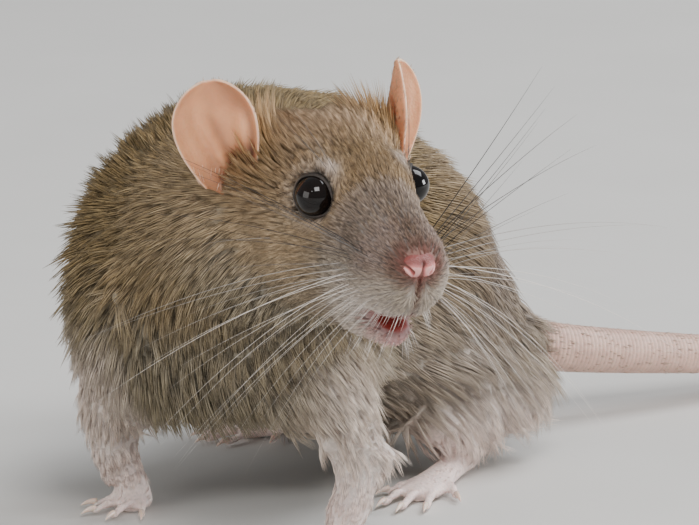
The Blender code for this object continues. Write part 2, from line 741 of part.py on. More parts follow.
def tidy_faces(obj):
    """Join faces that lie flush, triangulate, and drop faces too thin to measure."""
    bm = bmesh.new()
    bm.from_mesh(obj.data)
    bmesh.ops.dissolve_limit(bm, angle_limit=FLUSH_ANGLE, verts=bm.verts, edges=bm.edges)
    bmesh.ops.triangulate(bm, faces=bm.faces)
    bmesh.ops.dissolve_degenerate(bm, dist=SLIVER, edges=bm.edges)
    bmesh.ops.triangulate(bm, faces=bm.faces)
    bm.to_mesh(obj.data)
    bm.free()
    obj.data.shade_smooth()
    obj.data.set_sharp_from_angle(angle=SHARP_ANGLE)


def material_for(name):
    """The Principled material of a node, by the longest key that its name starts with."""
    key = max((key for key in FINISHES if name.startswith(key)), key=len)
    colour, roughness = FINISHES[key]
    material = bpy.data.materials.new(name)
    material.use_nodes = True
    shader = material.node_tree.nodes["Principled BSDF"]
    shader.inputs["Base Color"].default_value = (*colour, 1.0)
    shader.inputs["Roughness"].default_value = roughness
    shader.inputs["Metallic"].default_value = 0.0
    return material


def main():
    """Model the rat, part by part."""
    for obj in list(bpy.data.objects):
        bpy.data.objects.remove(obj)
    nodes = part_body(build_flesh())
    dress_head(nodes)
    finish(nodes)


main()
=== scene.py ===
"""A young brown rat, life size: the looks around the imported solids.

Sizes are in millimetres and degrees in the rat's own standing frame, where the rat faces -Y
and its left side is +X.  `Stance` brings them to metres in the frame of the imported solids.
"""

import logging
from collections.abc import Iterator
from contextlib import contextmanager
from dataclasses import dataclass, field, replace
from enum import Enum
from math import cos, pi, radians, sin

import bmesh
import bpy
import numpy as np
from mathutils import Matrix, Vector
from mathutils.bvhtree import BVHTree


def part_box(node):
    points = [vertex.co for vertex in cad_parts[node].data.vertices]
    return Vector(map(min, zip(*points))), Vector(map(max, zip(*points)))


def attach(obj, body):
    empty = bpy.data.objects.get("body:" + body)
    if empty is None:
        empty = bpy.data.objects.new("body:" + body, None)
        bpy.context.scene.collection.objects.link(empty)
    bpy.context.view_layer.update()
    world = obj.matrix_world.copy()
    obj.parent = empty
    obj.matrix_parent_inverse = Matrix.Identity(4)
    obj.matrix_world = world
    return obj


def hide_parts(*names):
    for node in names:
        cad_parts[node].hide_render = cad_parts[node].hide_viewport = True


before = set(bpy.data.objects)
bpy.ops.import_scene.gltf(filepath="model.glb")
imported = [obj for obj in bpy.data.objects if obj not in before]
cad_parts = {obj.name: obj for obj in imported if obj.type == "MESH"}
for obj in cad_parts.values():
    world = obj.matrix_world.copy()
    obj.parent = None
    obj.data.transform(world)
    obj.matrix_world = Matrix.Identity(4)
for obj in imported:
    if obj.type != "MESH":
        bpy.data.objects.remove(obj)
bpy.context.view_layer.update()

LOG = logging.getLogger("rat")
MM = 0.001
BODY = "root"
SIDES = {"left": 1.0, "right": -1.0}
UP = np.array((0.0, 0.0, 1.0))
Array = np.ndarray
Triple = tuple[float, float, float]
Socket = bpy.types.NodeSocket


# ---------------------------------------------------------------- the rat's stance
@dataclass(frozen=True)
class Stance:
    """The directions of the rat's head, and the way from its own frame to the solids' frame.

    Args:
        turn: heading of the head from straight ahead to the rat's left, in degrees.
        dip: how far the nose points below level, in degrees.
        nose_tip: the nose tip in the rat's own frame.
        nose_middle: the nose pad's middle from the nose tip, ahead and up.
        eye: the left eye's middle, in the head's directions.
    """

    turn: float = 64.0
    dip: float = 7.0
    nose_tip: Triple = (62.7, -30.0, 61.9)
    nose_middle: tuple[float, float] = (-1.6, -0.4)
    eye: Triple = (-22.8, 8.7, 5.4)

    @property
    def ahead(self) -> Array:
        """The way the nose points."""
        turn, dip = radians(self.turn), radians(self.dip)
        return np.array((sin(turn) * cos(dip), -cos(turn) * cos(dip), -sin(dip)))

    @property
    def left(self) -> Array:
        """The way to the left of the head."""
        return np.array((cos(radians(self.turn)), sin(radians(self.turn)), 0.0))

    @property
    def up(self) -> Array:
        """The way to the top of the head."""
        return np.cross(self.left, -self.ahead)

    @property
    def axes(self) -> Array:
        """The head's three directions, one row each."""
        return np.stack((self.ahead, self.left, self.up))

    @property
    def shift(self) -> Array:
        """What to take from a place in the rat's own frame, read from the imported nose.

        Returns:
            The shift in millimetres.
        """
        low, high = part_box("nose")
        middle = 0.5 * (np.array(low) + np.array(high)) / MM
        own = np.array(self.nose_tip) + self.nose_middle[0] * self.ahead + self.nose_middle[1] * self.up
        return own - middle

    def gaze(self, sign: float) -> Array:
        """The way out of the eye on the side of a sign: 1 for left, -1 for right."""
        return unit(0.62 * self.ahead + sign * self.left + 0.22 * self.up)

    def eye_middle(self, sign: float) -> Array:
        """The middle of the eye on the side of a sign, in the rat's own frame."""
        return self.head((self.eye[0], sign * self.eye[1], self.eye[2]))

    def head(self, places: object) -> Array:
        """Bring places from the head's directions into the rat's own frame.

        Args:
            places: one place, or a list of places, ahead, left and up of the nose tip.

        Returns:
            The same places in the rat's own frame.
        """
        result = np.array(self.nose_tip) + np.atleast_2d(np.array(places, dtype=float)) @ self.axes
        return result if np.ndim(places) > 1 else result[0]

    def from_head(self, points: Array) -> Array:
        """The head's own measures (ahead, left, up) of points in the rat's own frame."""
        return (points - np.array(self.nose_tip)) @ self.axes.T

    def metres(self, points: Array) -> Array:
        """Points of the rat's own frame in metres in the solids' frame."""
        return (np.asarray(points) - self.shift) * MM

    def own(self, points: Array) -> Array:
        """Points of the solids' frame, in metres, in the rat's own frame."""
        return np.asarray(points) / MM + self.shift


STANCE = Stance()


# ---------------------------------------------------------------- numbers
def lerp(low: object, high: object, share: object) -> object:
    """The value at a share of the way from low to high."""
    return low + (high - low) * share


def bump(distance: Array, reach: object) -> Array:
    """A bell curve of height 1 that falls to a third at the reach."""
    return np.exp(-(distance / reach) ** 2)


def ramp(value: Array, low: float, high: float) -> Array:
    """0 below low, 1 above high, and a smooth rise between."""
    share = np.clip((value - low) / (high - low), 0.0, 1.0)
    return share * share * (3.0 - 2.0 * share)


def unit(vectors: Array) -> Array:
    """Vectors brought to length 1, row by row."""
    return vectors / np.maximum(np.linalg.norm(vectors, axis=-1, keepdims=True), 1e-12)


def along_skin(ways: Array, normals: Array) -> Array:
    """Ways with what they have along the normals taken out, row by row."""
    return ways - np.sum(ways * normals, axis=1, keepdims=True) * normals


def linear(red: float, green: float, blue: float) -> Array:
    """A colour given in 0 to 255 as the eye sees it, in the linear values of a shader."""
    value = np.array((red, green, blue)) / 255.0
    return np.where(value < 0.04045, value / 12.92, ((value + 0.055) / 1.055) ** 2.4)


def tint(colours: Array, share: Array, *colour: float) -> None:
    """Blend a colour, given in 0 to 255, into rows of colours by a share for each row."""
    colours[:] = lerp(colours, linear(*colour), share[:, None])


def smooth_path(points: object, steps: int) -> Array:
    """Draw a smooth curve through rows of numbers.

    Args:
        points: the rows it passes through.
        steps: how many steps it takes between two of them.

    Returns:
        The rows of the curve.
    """
    rows = np.asarray(points, dtype=float)
    ends = np.vstack((2 * rows[0] - rows[1], rows, 2 * rows[-1] - rows[-2]))
    share = np.linspace(0.0, 1.0, steps, endpoint=False)[:, None]
    path = [0.5 * (2 * b + (c - a) * share + (2 * a - 5 * b + 4 * c - d) * share ** 2
                   + (3 * b - 3 * c + d - a) * share ** 3) for a, b, c, d in zip(ends, ends[1:], ends[2:], ends[3:])]
    return np.vstack(path + [rows[-1:]])


def rings_along(path: Array, radii: Array, sides: int, flat: float = 1.0) -> list[Array]:
    """Lay rings square to a path.

    Args:
        path: the middles of the rings.
        radii: for each ring its radius, or its radius at each of its points.
        sides: points of a ring.
        flat: height of a ring over its width.

    Returns:
        The rings, each an array of points.
    """
    angles = np.linspace(0.0, 2.0 * pi, sides, endpoint=False)[:, None]
    rings = []
    for centre, way, radius in zip(path, unit(np.gradient(path, axis=0)), radii):
        side = unit(np.cross(way, UP if abs(way[2]) < 0.9 else np.array((0.0, -1.0, 0.0))))
        around = np.cos(angles) * side + flat * np.sin(angles) * np.cross(side, way)
        rings.append(centre + np.reshape(radius, (-1, 1)) * around)
    return rings


def grid_triangles(faces: list) -> list:
    """The four-cornered faces of a list, each cut in two triangles."""
    return [half for face in faces if len(face) == 4 for half in (face[:3], (face[0], *face[2:]))]


# ---------------------------------------------------------------- meshes
def read(data: object, key: str, width: int = 1, kind: type = np.float32) -> Array:
    """Read a property of all elements of some mesh data.

    Args:
        data: the elements, such as a mesh's vertices.
        key: the property's name.
        width: how many numbers it has.
        kind: their type.

    Returns:
        One number or row of numbers for each element.
    """
    flat = np.empty(len(data) * width, dtype=kind)
    data.foreach_get(key, flat)
    return flat.reshape(-1, width) if width > 1 else flat


def vertex_array(mesh: bpy.types.Mesh) -> Array:
    """The places of a mesh's vertices, one row each."""
    return read(mesh.vertices, "co", 3).astype(float)


def normal_array(mesh: bpy.types.Mesh) -> Array:
    """The normals of a mesh's vertices, one row each."""
    return read(mesh.vertex_normals, "vector", 3).astype(float)


def face_array(mesh: bpy.types.Mesh) -> Array:
    """The vertex numbers of a mesh's triangles, one row each."""
    return read(mesh.polygons, "vertices", 3, np.int32)


def corner_array(mesh: bpy.types.Mesh) -> Array:
    """The vertex number at each corner of a mesh's faces."""
    return read(mesh.loops, "vertex_index", 1, np.int32)


def put_vertices(mesh: bpy.types.Mesh, points: Array) -> None:
    """Move a mesh's vertices to new places."""
    mesh.vertices.foreach_set("co", points.astype(np.float32).ravel())
    mesh.update()


WIDTHS = {1: ("FLOAT", "value"), 2: ("FLOAT2", "vector"), 3: ("FLOAT_VECTOR", "vector"), 4: ("FLOAT_COLOR", "color")}


def put(mesh: bpy.types.Mesh, **attributes: Array) -> None:
    """Store values on a mesh by name: pairs of numbers at its corners, all others at its vertices.

    Args:
        mesh: the mesh that takes the values.
        attributes: for each name, one number or row of numbers for each element.
    """
    for name, values in attributes.items():
        width = values.shape[1] if values.ndim > 1 else 1
        kind, key = WIDTHS[width]
        attribute = mesh.attributes.new(name, kind, "CORNER" if width == 2 else "POINT")
        attribute.data.foreach_set(key, np.ascontiguousarray(values, dtype=np.float32).ravel())


@contextmanager
def edited(mesh: bpy.types.Mesh) -> Iterator[bmesh.types.BMesh]:
    """Lend a mesh for editing and write it back.

    Args:
        mesh: the mesh to edit.

    Yields:
        The mesh in the form in which it is edited.
    """
    bm = bmesh.new()
    bm.from_mesh(mesh)
    yield bm
    bm.to_mesh(mesh)
    bm.free()


def ball(subdivisions: int) -> tuple[Array, list]:
    """Make an even ball of radius 1.

    Args:
        subdivisions: how finely it is divided.

    Returns:
        Its points and its faces.
    """
    bm = bmesh.new()
    bmesh.ops.create_icosphere(bm, subdivisions=subdivisions, radius=1.0)
    points = unit(np.array([vert.co[:] for vert in bm.verts]))
    faces = [[vert.index for vert in face.verts] for face in bm.faces]
    bm.free()
    return points, faces


def link(name: str, data: bpy.types.ID) -> bpy.types.Object:
    """Put an object into the scene.

    Args:
        name: the object's name.
        data: its mesh, light or camera.

    Returns:
        The new object.
    """
    obj = bpy.data.objects.new(name, data)
    bpy.context.scene.collection.objects.link(obj)
    return obj


def mesh_object(name: str, points: object, faces: list, smooth: bool = True) -> bpy.types.Object:
    """Make an object with its normals outward.

    Args:
        name: name of the object and of its mesh.
        points: vertex places in metres.
        faces: vertex numbers of each face.
        smooth: whether it is shaded smooth.

    Returns:
        The new object, linked to the scene.
    """
    mesh = bpy.data.meshes.new(name)
    mesh.from_pydata(np.asarray(points).tolist(), [], [tuple(face) for face in faces])
    with edited(mesh) as bm:
        bmesh.ops.recalc_face_normals(bm, faces=bm.faces)
    if smooth:
        mesh.shade_smooth()
    return link(name, mesh)


class Pile:
    """The points and faces of a piece under way, in the rat's own frame."""

    def __init__(self) -> None:
        """Start with nothing."""
        self.points: list = []
        self.faces: list = []

    def tube(self, rings: list[Array], closed: bool = False) -> None:
        """Add a tube over rings of points.

        Args:
            rings: the rings.
            closed: whether the last ring leads back to the first, and no caps are needed.
        """
        start, sides = len(self.points), len(rings[0])
        for ring in rings:
            self.points.extend(np.asarray(ring).tolist())
        for row in range(len(rings) if closed else len(rings) - 1):
            low, high = start + row * sides, start + (row + 1) % len(rings) * sides
            for i in range(sides):
                j = (i + 1) % sides
                self.faces.append((low + i, low + j, high + j, high + i))
        if not closed:
            self.faces.append(tuple(start + i for i in reversed(range(sides))))
            self.faces.append(tuple(len(self.points) - sides + i for i in range(sides)))

    def piece(self, name: str) -> bpy.types.Object:
        """The piece as an object."""
        return mesh_object(name, STANCE.metres(np.array(self.points)), self.faces)


def bake_modifiers(obj: bpy.types.Object) -> None:
    """Give an object the mesh that its modifiers make, and drop the modifiers.

    Args:
        obj: the object.
    """
    bpy.context.view_layer.update()
    mesh = bpy.data.meshes.new_from_object(obj.evaluated_get(bpy.context.evaluated_depsgraph_get()))
    obj.modifiers.clear()
    old, obj.data = obj.data, mesh
    bpy.data.meshes.remove(old)


def discard(obj: bpy.types.Object) -> None:
    """Take a helper object and its mesh out of the scene.

    Args:
        obj: the helper object.
    """
    mesh = obj.data
    bpy.data.objects.remove(obj)
    bpy.data.meshes.remove(mesh)


def settle(obj: bpy.types.Object, material: bpy.types.Material, slot: str, *nodes: str) -> None:
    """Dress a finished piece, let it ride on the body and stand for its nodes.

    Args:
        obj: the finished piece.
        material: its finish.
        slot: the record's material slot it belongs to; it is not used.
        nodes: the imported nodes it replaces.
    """
    obj.data.materials.clear()
    obj.data.materials.append(material)
    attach(obj, BODY)
    if nodes:
        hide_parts(*nodes)
    LOG.info("%s: %d triangles", obj.name, sum(len(face.vertices) - 2 for face in obj.data.polygons))


# ---------------------------------------------------------------- node trees
class Graph:
    """A node tree that is filled in a few short calls."""

    def __init__(self, tree: bpy.types.NodeTree) -> None:
        """Hold the tree to fill."""
        self.tree = tree

    def feed(self, node: bpy.types.Node, inputs: dict) -> bpy.types.Node:
        """Set or link the inputs of a node.

        Args:
            node: the node.
            inputs: for each input, by name or number, a value or the socket that feeds it.

        Returns:
            The same node.
        """
        for key, value in inputs.items():
            if isinstance(value, Socket):
                self.tree.links.new(value, node.inputs[key])
            else:
                node.inputs[key].default_value = value
        return node

    def add(self, kind: str, inputs: dict | None = None, **settings: object) -> bpy.types.Node:
        """Add a node.

        Args:
            kind: the node's type.
            inputs: for each input, by name or number, a value or the socket that feeds it.
            settings: properties of the node.

        Returns:
            The new node.
        """
        node = self.tree.nodes.new(kind)
        for name, value in settings.items():
            setattr(node, name, value)
        return self.feed(node, inputs or {})

    def math(self, operation: str, *values: object, clamp: bool = False) -> Socket:
        """The result of a Math node."""
        values = dict(enumerate(values))
        return self.add("ShaderNodeMath", values, operation=operation, use_clamp=clamp).outputs[0]

    def vector(self, operation: str, first: object, second: object) -> Socket:
        """The result of a Vector Math node; Scale takes a number second."""
        values = {0: first, "Scale" if operation == "SCALE" else 1: second}
        return self.add("ShaderNodeVectorMath", values, operation=operation).outputs[0]

    def mix(self, kind: str, share: object, first: object, second: object) -> Socket:
        """The result of a colour mix of the given blend kind."""
        values = {0: share, 6: first, 7: second}
        return self.add("ShaderNodeMix", values, data_type="RGBA", blend_type=kind).outputs[2]

    def steps(self, share: Socket, *stops: tuple[float, object]) -> Socket:
        """Add a colour ramp.

        Args:
            share: the place on the ramp.
            stops: places with their colours.

        Returns:
            The colour at that place.
        """
        node = self.add("ShaderNodeValToRGB", {0: share})
        elements = node.color_ramp.elements
        while len(elements) < len(stops):
            elements.new(0.5)
        for element, (place, colour) in zip(elements, stops):
            element.position = place
            element.color = (*colour, 1.0)
        return node.outputs[0]

    def attribute(self, name: str) -> object:
        """The outputs of an attribute of the surface."""
        return self.add("ShaderNodeAttribute", attribute_name=name).outputs

    def place(self) -> Socket:
        """The place on the object."""
        return self.add("ShaderNodeTexCoord").outputs["Object"]

    def noise(self, place: Socket, scale: float, detail: float = 2.0) -> Socket:
        """The value of a noise."""
        return self.add("ShaderNodeTexNoise", {"Vector": place, "Scale": scale, "Detail": detail}).outputs[0]

    def relief(self, height: Socket, strength: float, distance: float) -> Socket:
        """The normal of a relief."""
        values = {"Height": height, "Strength": strength, "Distance": distance}
        return self.add("ShaderNodeBump", values).outputs[0]


def paint(name: str) -> tuple[bpy.types.Material, Graph, bpy.types.Node]:
    """Start a material.

    Args:
        name: the material's name.

    Returns:
        The material, its graph and its Principled shader.
    """
    material = bpy.data.materials.new(name)
    material.use_nodes = True
    return material, Graph(material.node_tree), material.node_tree.nodes["Principled BSDF"]


# ---------------------------------------------------------------- the plan of the coat
@dataclass(frozen=True)
class Station:
    """One place along a line through the body, and the coat around it.

    Args:
        place: its place in the rat's own frame.
        reach: how far the body reaches around it.
        span: length of the hair.
        depth: depth of the coat above the skin.
        above: colour of the coat on the upper side.
        below: colour of the coat on the under side.
    """

    place: Triple
    reach: float
    span: float
    depth: float
    above: Triple
    below: Triple


class Line(Enum):
    """The lines through the body that the coat follows."""

    HEAD = "head"
    NECK = "neck"
    TRUNK = "trunk"
    FORELEG_RIGHT = "foreleg_right"
    FORELEG_LEFT = "foreleg_left"
    HINDLEG_LEFT = "hindleg_left"
    HINDLEG_RIGHT = "hindleg_right"
    FOREFOOT_LEFT = "forefoot_left"
    FOREFOOT_RIGHT = "forefoot_right"
    HINDFOOT_LEFT = "hindfoot_left"
    HINDFOOT_RIGHT = "hindfoot_right"


BROWN, OLIVE, DUN, GOLD = (159, 141, 110), (134, 117, 84), (148, 132, 110), (160, 140, 114)
# The chest colour, under the neck and front trunk, is darker than the smoke grey: painted shade under the head.
SHADED_CHEST, SMOKE, HAZE, ASH = (156, 148, 130), (164, 153, 140), (138, 127, 120), (160, 147, 138)
MUZZLE, CREAM, DUSK, MIST = (158, 143, 138), (190, 180, 168), (202, 190, 176), (226, 214, 202)
PALE, FLESH = (244, 232, 226), (242, 222, 218)

HEAD_ROWS = (
    (-0.5, -3.0, 3.0, 1.3, 0.15, MUZZLE, CREAM), (-6.0, -3.8, 7.5, 2.3, 0.35, MUZZLE, CREAM),
    (-14.0, -3.0, 9.5, 3.3, 0.7, ASH, CREAM), (-24.0, -2.2, 12.5, 4.2, 1.1, GOLD, SMOKE),
    (-34.0, -2.0, 16.0, 5.5, 1.6, GOLD, SMOKE), (-44.0, -2.4, 17.0, 7.5, 2.4, GOLD, SMOKE),
    (-52.0, -3.0, 17.0, 8.5, 3.0, BROWN, SMOKE))
BODY_ROWS = {
    Line.NECK: (
        ((20.0, -11.5, 58.0), 18.0, 7.5, 2.6, BROWN, SHADED_CHEST), ((8.0, -7.0, 53.5), 21.0, 9.0, 3.2, BROWN, SHADED_CHEST),
        ((-2.0, 1.0, 50.0), 23.0, 10.0, 3.8, OLIVE, SHADED_CHEST)),
    Line.TRUNK: (
        ((0.0, -18.0, 43.0), 18.0, 9.5, 3.6, BROWN, SHADED_CHEST), ((-5.0, -2.0, 41.0), 27.0, 10.0, 4.0, OLIVE, SHADED_CHEST),
        ((-8.0, 12.0, 40.0), 30.0, 10.5, 4.2, OLIVE, SHADED_CHEST), ((-11.0, 27.0, 39.0), 31.0, 11.0, 4.4, OLIVE, SMOKE),
        ((-12.0, 44.0, 37.0), 30.0, 11.5, 4.4, DUN, SMOKE), ((-12.0, 60.0, 33.0), 28.0, 11.0, 4.4, HAZE, SMOKE),
        ((-10.0, 74.0, 27.0), 23.0, 10.0, 4.2, HAZE, SMOKE), ((-8.0, 86.0, 19.0), 13.0, 9.5, 2.4, HAZE, SMOKE)),
    # The right foreleg is painted paler than the left, as painted light that lifts the shade the body casts on it.
    Line.FORELEG_RIGHT: (
        ((-18.0, 1.0, 36.0), 13.0, 9.0, 3.4, BROWN, SMOKE), ((-24.0, 0.0, 26.0), 10.5, 5.8, 2.6, PALE, PALE),
        ((-27.0, 0.0, 15.0), 6.5, 4.5, 1.8, PALE, PALE), ((-25.5, 1.2, 6.5), 3.9, 2.2, 0.6, FLESH, PALE)),
    Line.FORELEG_LEFT: (
        ((13.0, 1.0, 36.0), 13.0, 7.6, 3.4, BROWN, SMOKE), ((18.5, 3.0, 27.0), 10.0, 5.6, 3.2, DUSK, MIST),
        ((22.6, 5.0, 16.0), 6.2, 4.5, 3.0, PALE, PALE), ((22.6, 2.2, 6.5), 3.8, 2.2, 0.6, FLESH, PALE)),
    Line.HINDLEG_LEFT: (
        ((0.0, 56.0, 32.0), 18.0, 10.5, 4.2, HAZE, SMOKE), ((8.0, 62.0, 16.0), 12.0, 8.5, 2.6, SMOKE, PALE),
        ((8.0, 57.0, 6.5), 4.4, 3.4, 0.7, PALE, PALE)),
    Line.HINDLEG_RIGHT: (
        ((-26.0, 66.0, 32.0), 18.0, 10.5, 4.2, HAZE, SMOKE), ((-30.0, 74.0, 16.0), 11.5, 8.5, 2.6, SMOKE, PALE),
        ((-31.8, 72.5, 6.5), 4.4, 3.4, 0.7, PALE, PALE)),
}


@dataclass(frozen=True)
class Foot:
    """One foot: where it stands, which way it points and the toes it has.

    Args:
        heel: place of its wrist or heel on the floor.
        heading: heading of the toes from straight ahead, positive to the rat's left.
        width: width across the ball of the foot.
        height: height at the wrist or heel.
        toes: for each toe its fan angle, its root along and across the foot, and its length.
        shank: points and radii from the end of the leg into the wrist or heel.
    """

    heel: tuple[float, float]
    heading: float
    width: float
    height: float
    toes: tuple[tuple[float, float, float, float], ...]
    shank: tuple[tuple[float, float, float, float], ...]

    @property
    def length(self) -> float:
        """The length of the sole up to the roots of the toes."""
        return max(toe[1] for toe in self.toes)

    @property
    def ways(self) -> tuple[Array, Array, Array]:
        """The foot's place and directions.

        Returns:
            The heel on the floor, the way ahead and the way to the left.
        """
        turn = radians(self.heading)
        ahead, left = np.array((sin(turn), -cos(turn), 0.0)), np.array((cos(turn), sin(turn), 0.0))
        return np.array((*self.heel, 0.0)), ahead, left

    def toe_ways(self) -> Iterator[tuple[Array, Array, float]]:
        """The root, the way and the length of each toe."""
        heel, ahead, left = self.ways
        for fan, along, aside, reach in self.toes:
            way = cos(radians(fan)) * ahead + sin(radians(fan)) * left
            yield heel + along * ahead + aside * left, way, reach


FORE_TOES = ((-42.0, 3.6, -2.6, 5.2), (-15.0, 5.2, -1.1, 6.4), (12.0, 5.3, 1.0, 6.4), (40.0, 3.7, 2.6, 5.4))
HIND_TOES = ((-34.0, 17.0, -3.0, 6.4), (-10.0, 21.0, -2.3, 9.4), (1.0, 22.0, 0.0, 10.0), (12.0, 21.0, 2.3, 9.4),
             (36.0, 16.0, 3.0, 6.6))
FEET: dict[Line, Foot] = {
    Line.FOREFOOT_LEFT: Foot((22.2, 2.4), 10.0, 8.4, 4.6, FORE_TOES, (
        (23.0, 3.4, 10.0, 4.4), (22.5, 1.8, 5.3, 3.7), (22.4, 1.2, 3.2, 3.1), (22.6, -0.6, 2.4, 2.3))),
    Line.FOREFOOT_RIGHT: Foot((-22.8, 4.0), -4.0, 8.4, 4.6, FORE_TOES, (
        (-26.8, 1.0, 10.5, 4.4), (-25.2, 1.5, 5.8, 3.8), (-24.0, 2.2, 3.5, 3.2), (-23.2, 0.6, 2.4, 2.3))),
    Line.HINDFOOT_LEFT: Foot((7.2, 58.0), 15.0, 9.0, 6.0, HIND_TOES, (
        (8.0, 53.5, 10.0, 5.4), (8.2, 56.0, 6.0, 4.6), (8.0, 56.5, 3.7, 3.6), (8.4, 54.0, 3.0, 2.8))),
    Line.HINDFOOT_RIGHT: Foot((-31.0, 75.0), -20.0, 9.0, 6.0, HIND_TOES, (
        (-32.6, 69.0, 10.0, 5.4), (-32.0, 71.0, 6.0, 4.6), (-31.8, 72.5, 3.7, 3.6), (-32.2, 70.0, 3.0, 2.8))),
}


def foot_stations(foot: Foot) -> list[Station]:
    """The stations from a foot's heel to past its toes, where the hair is shortest."""
    heel, ahead, _ = foot.ways
    return [Station(tuple(heel + share * foot.length * ahead + 2.0 * UP), 3.6, span, 0.05, FLESH, FLESH)
            for share, span in ((0.1, 1.5), (0.6, 1.2), (1.0, 1.0), (1.4, 0.9))]


LINES: dict[Line, list[Station]] = {
    Line.HEAD: [Station(tuple(STANCE.head((ahead, 0.0, height))), *coat) for ahead, height, *coat in HEAD_ROWS],
    **{line: [Station(*row) for row in rows] for line, rows in BODY_ROWS.items()},
    **{line: foot_stations(foot) for line, foot in FEET.items()},
}


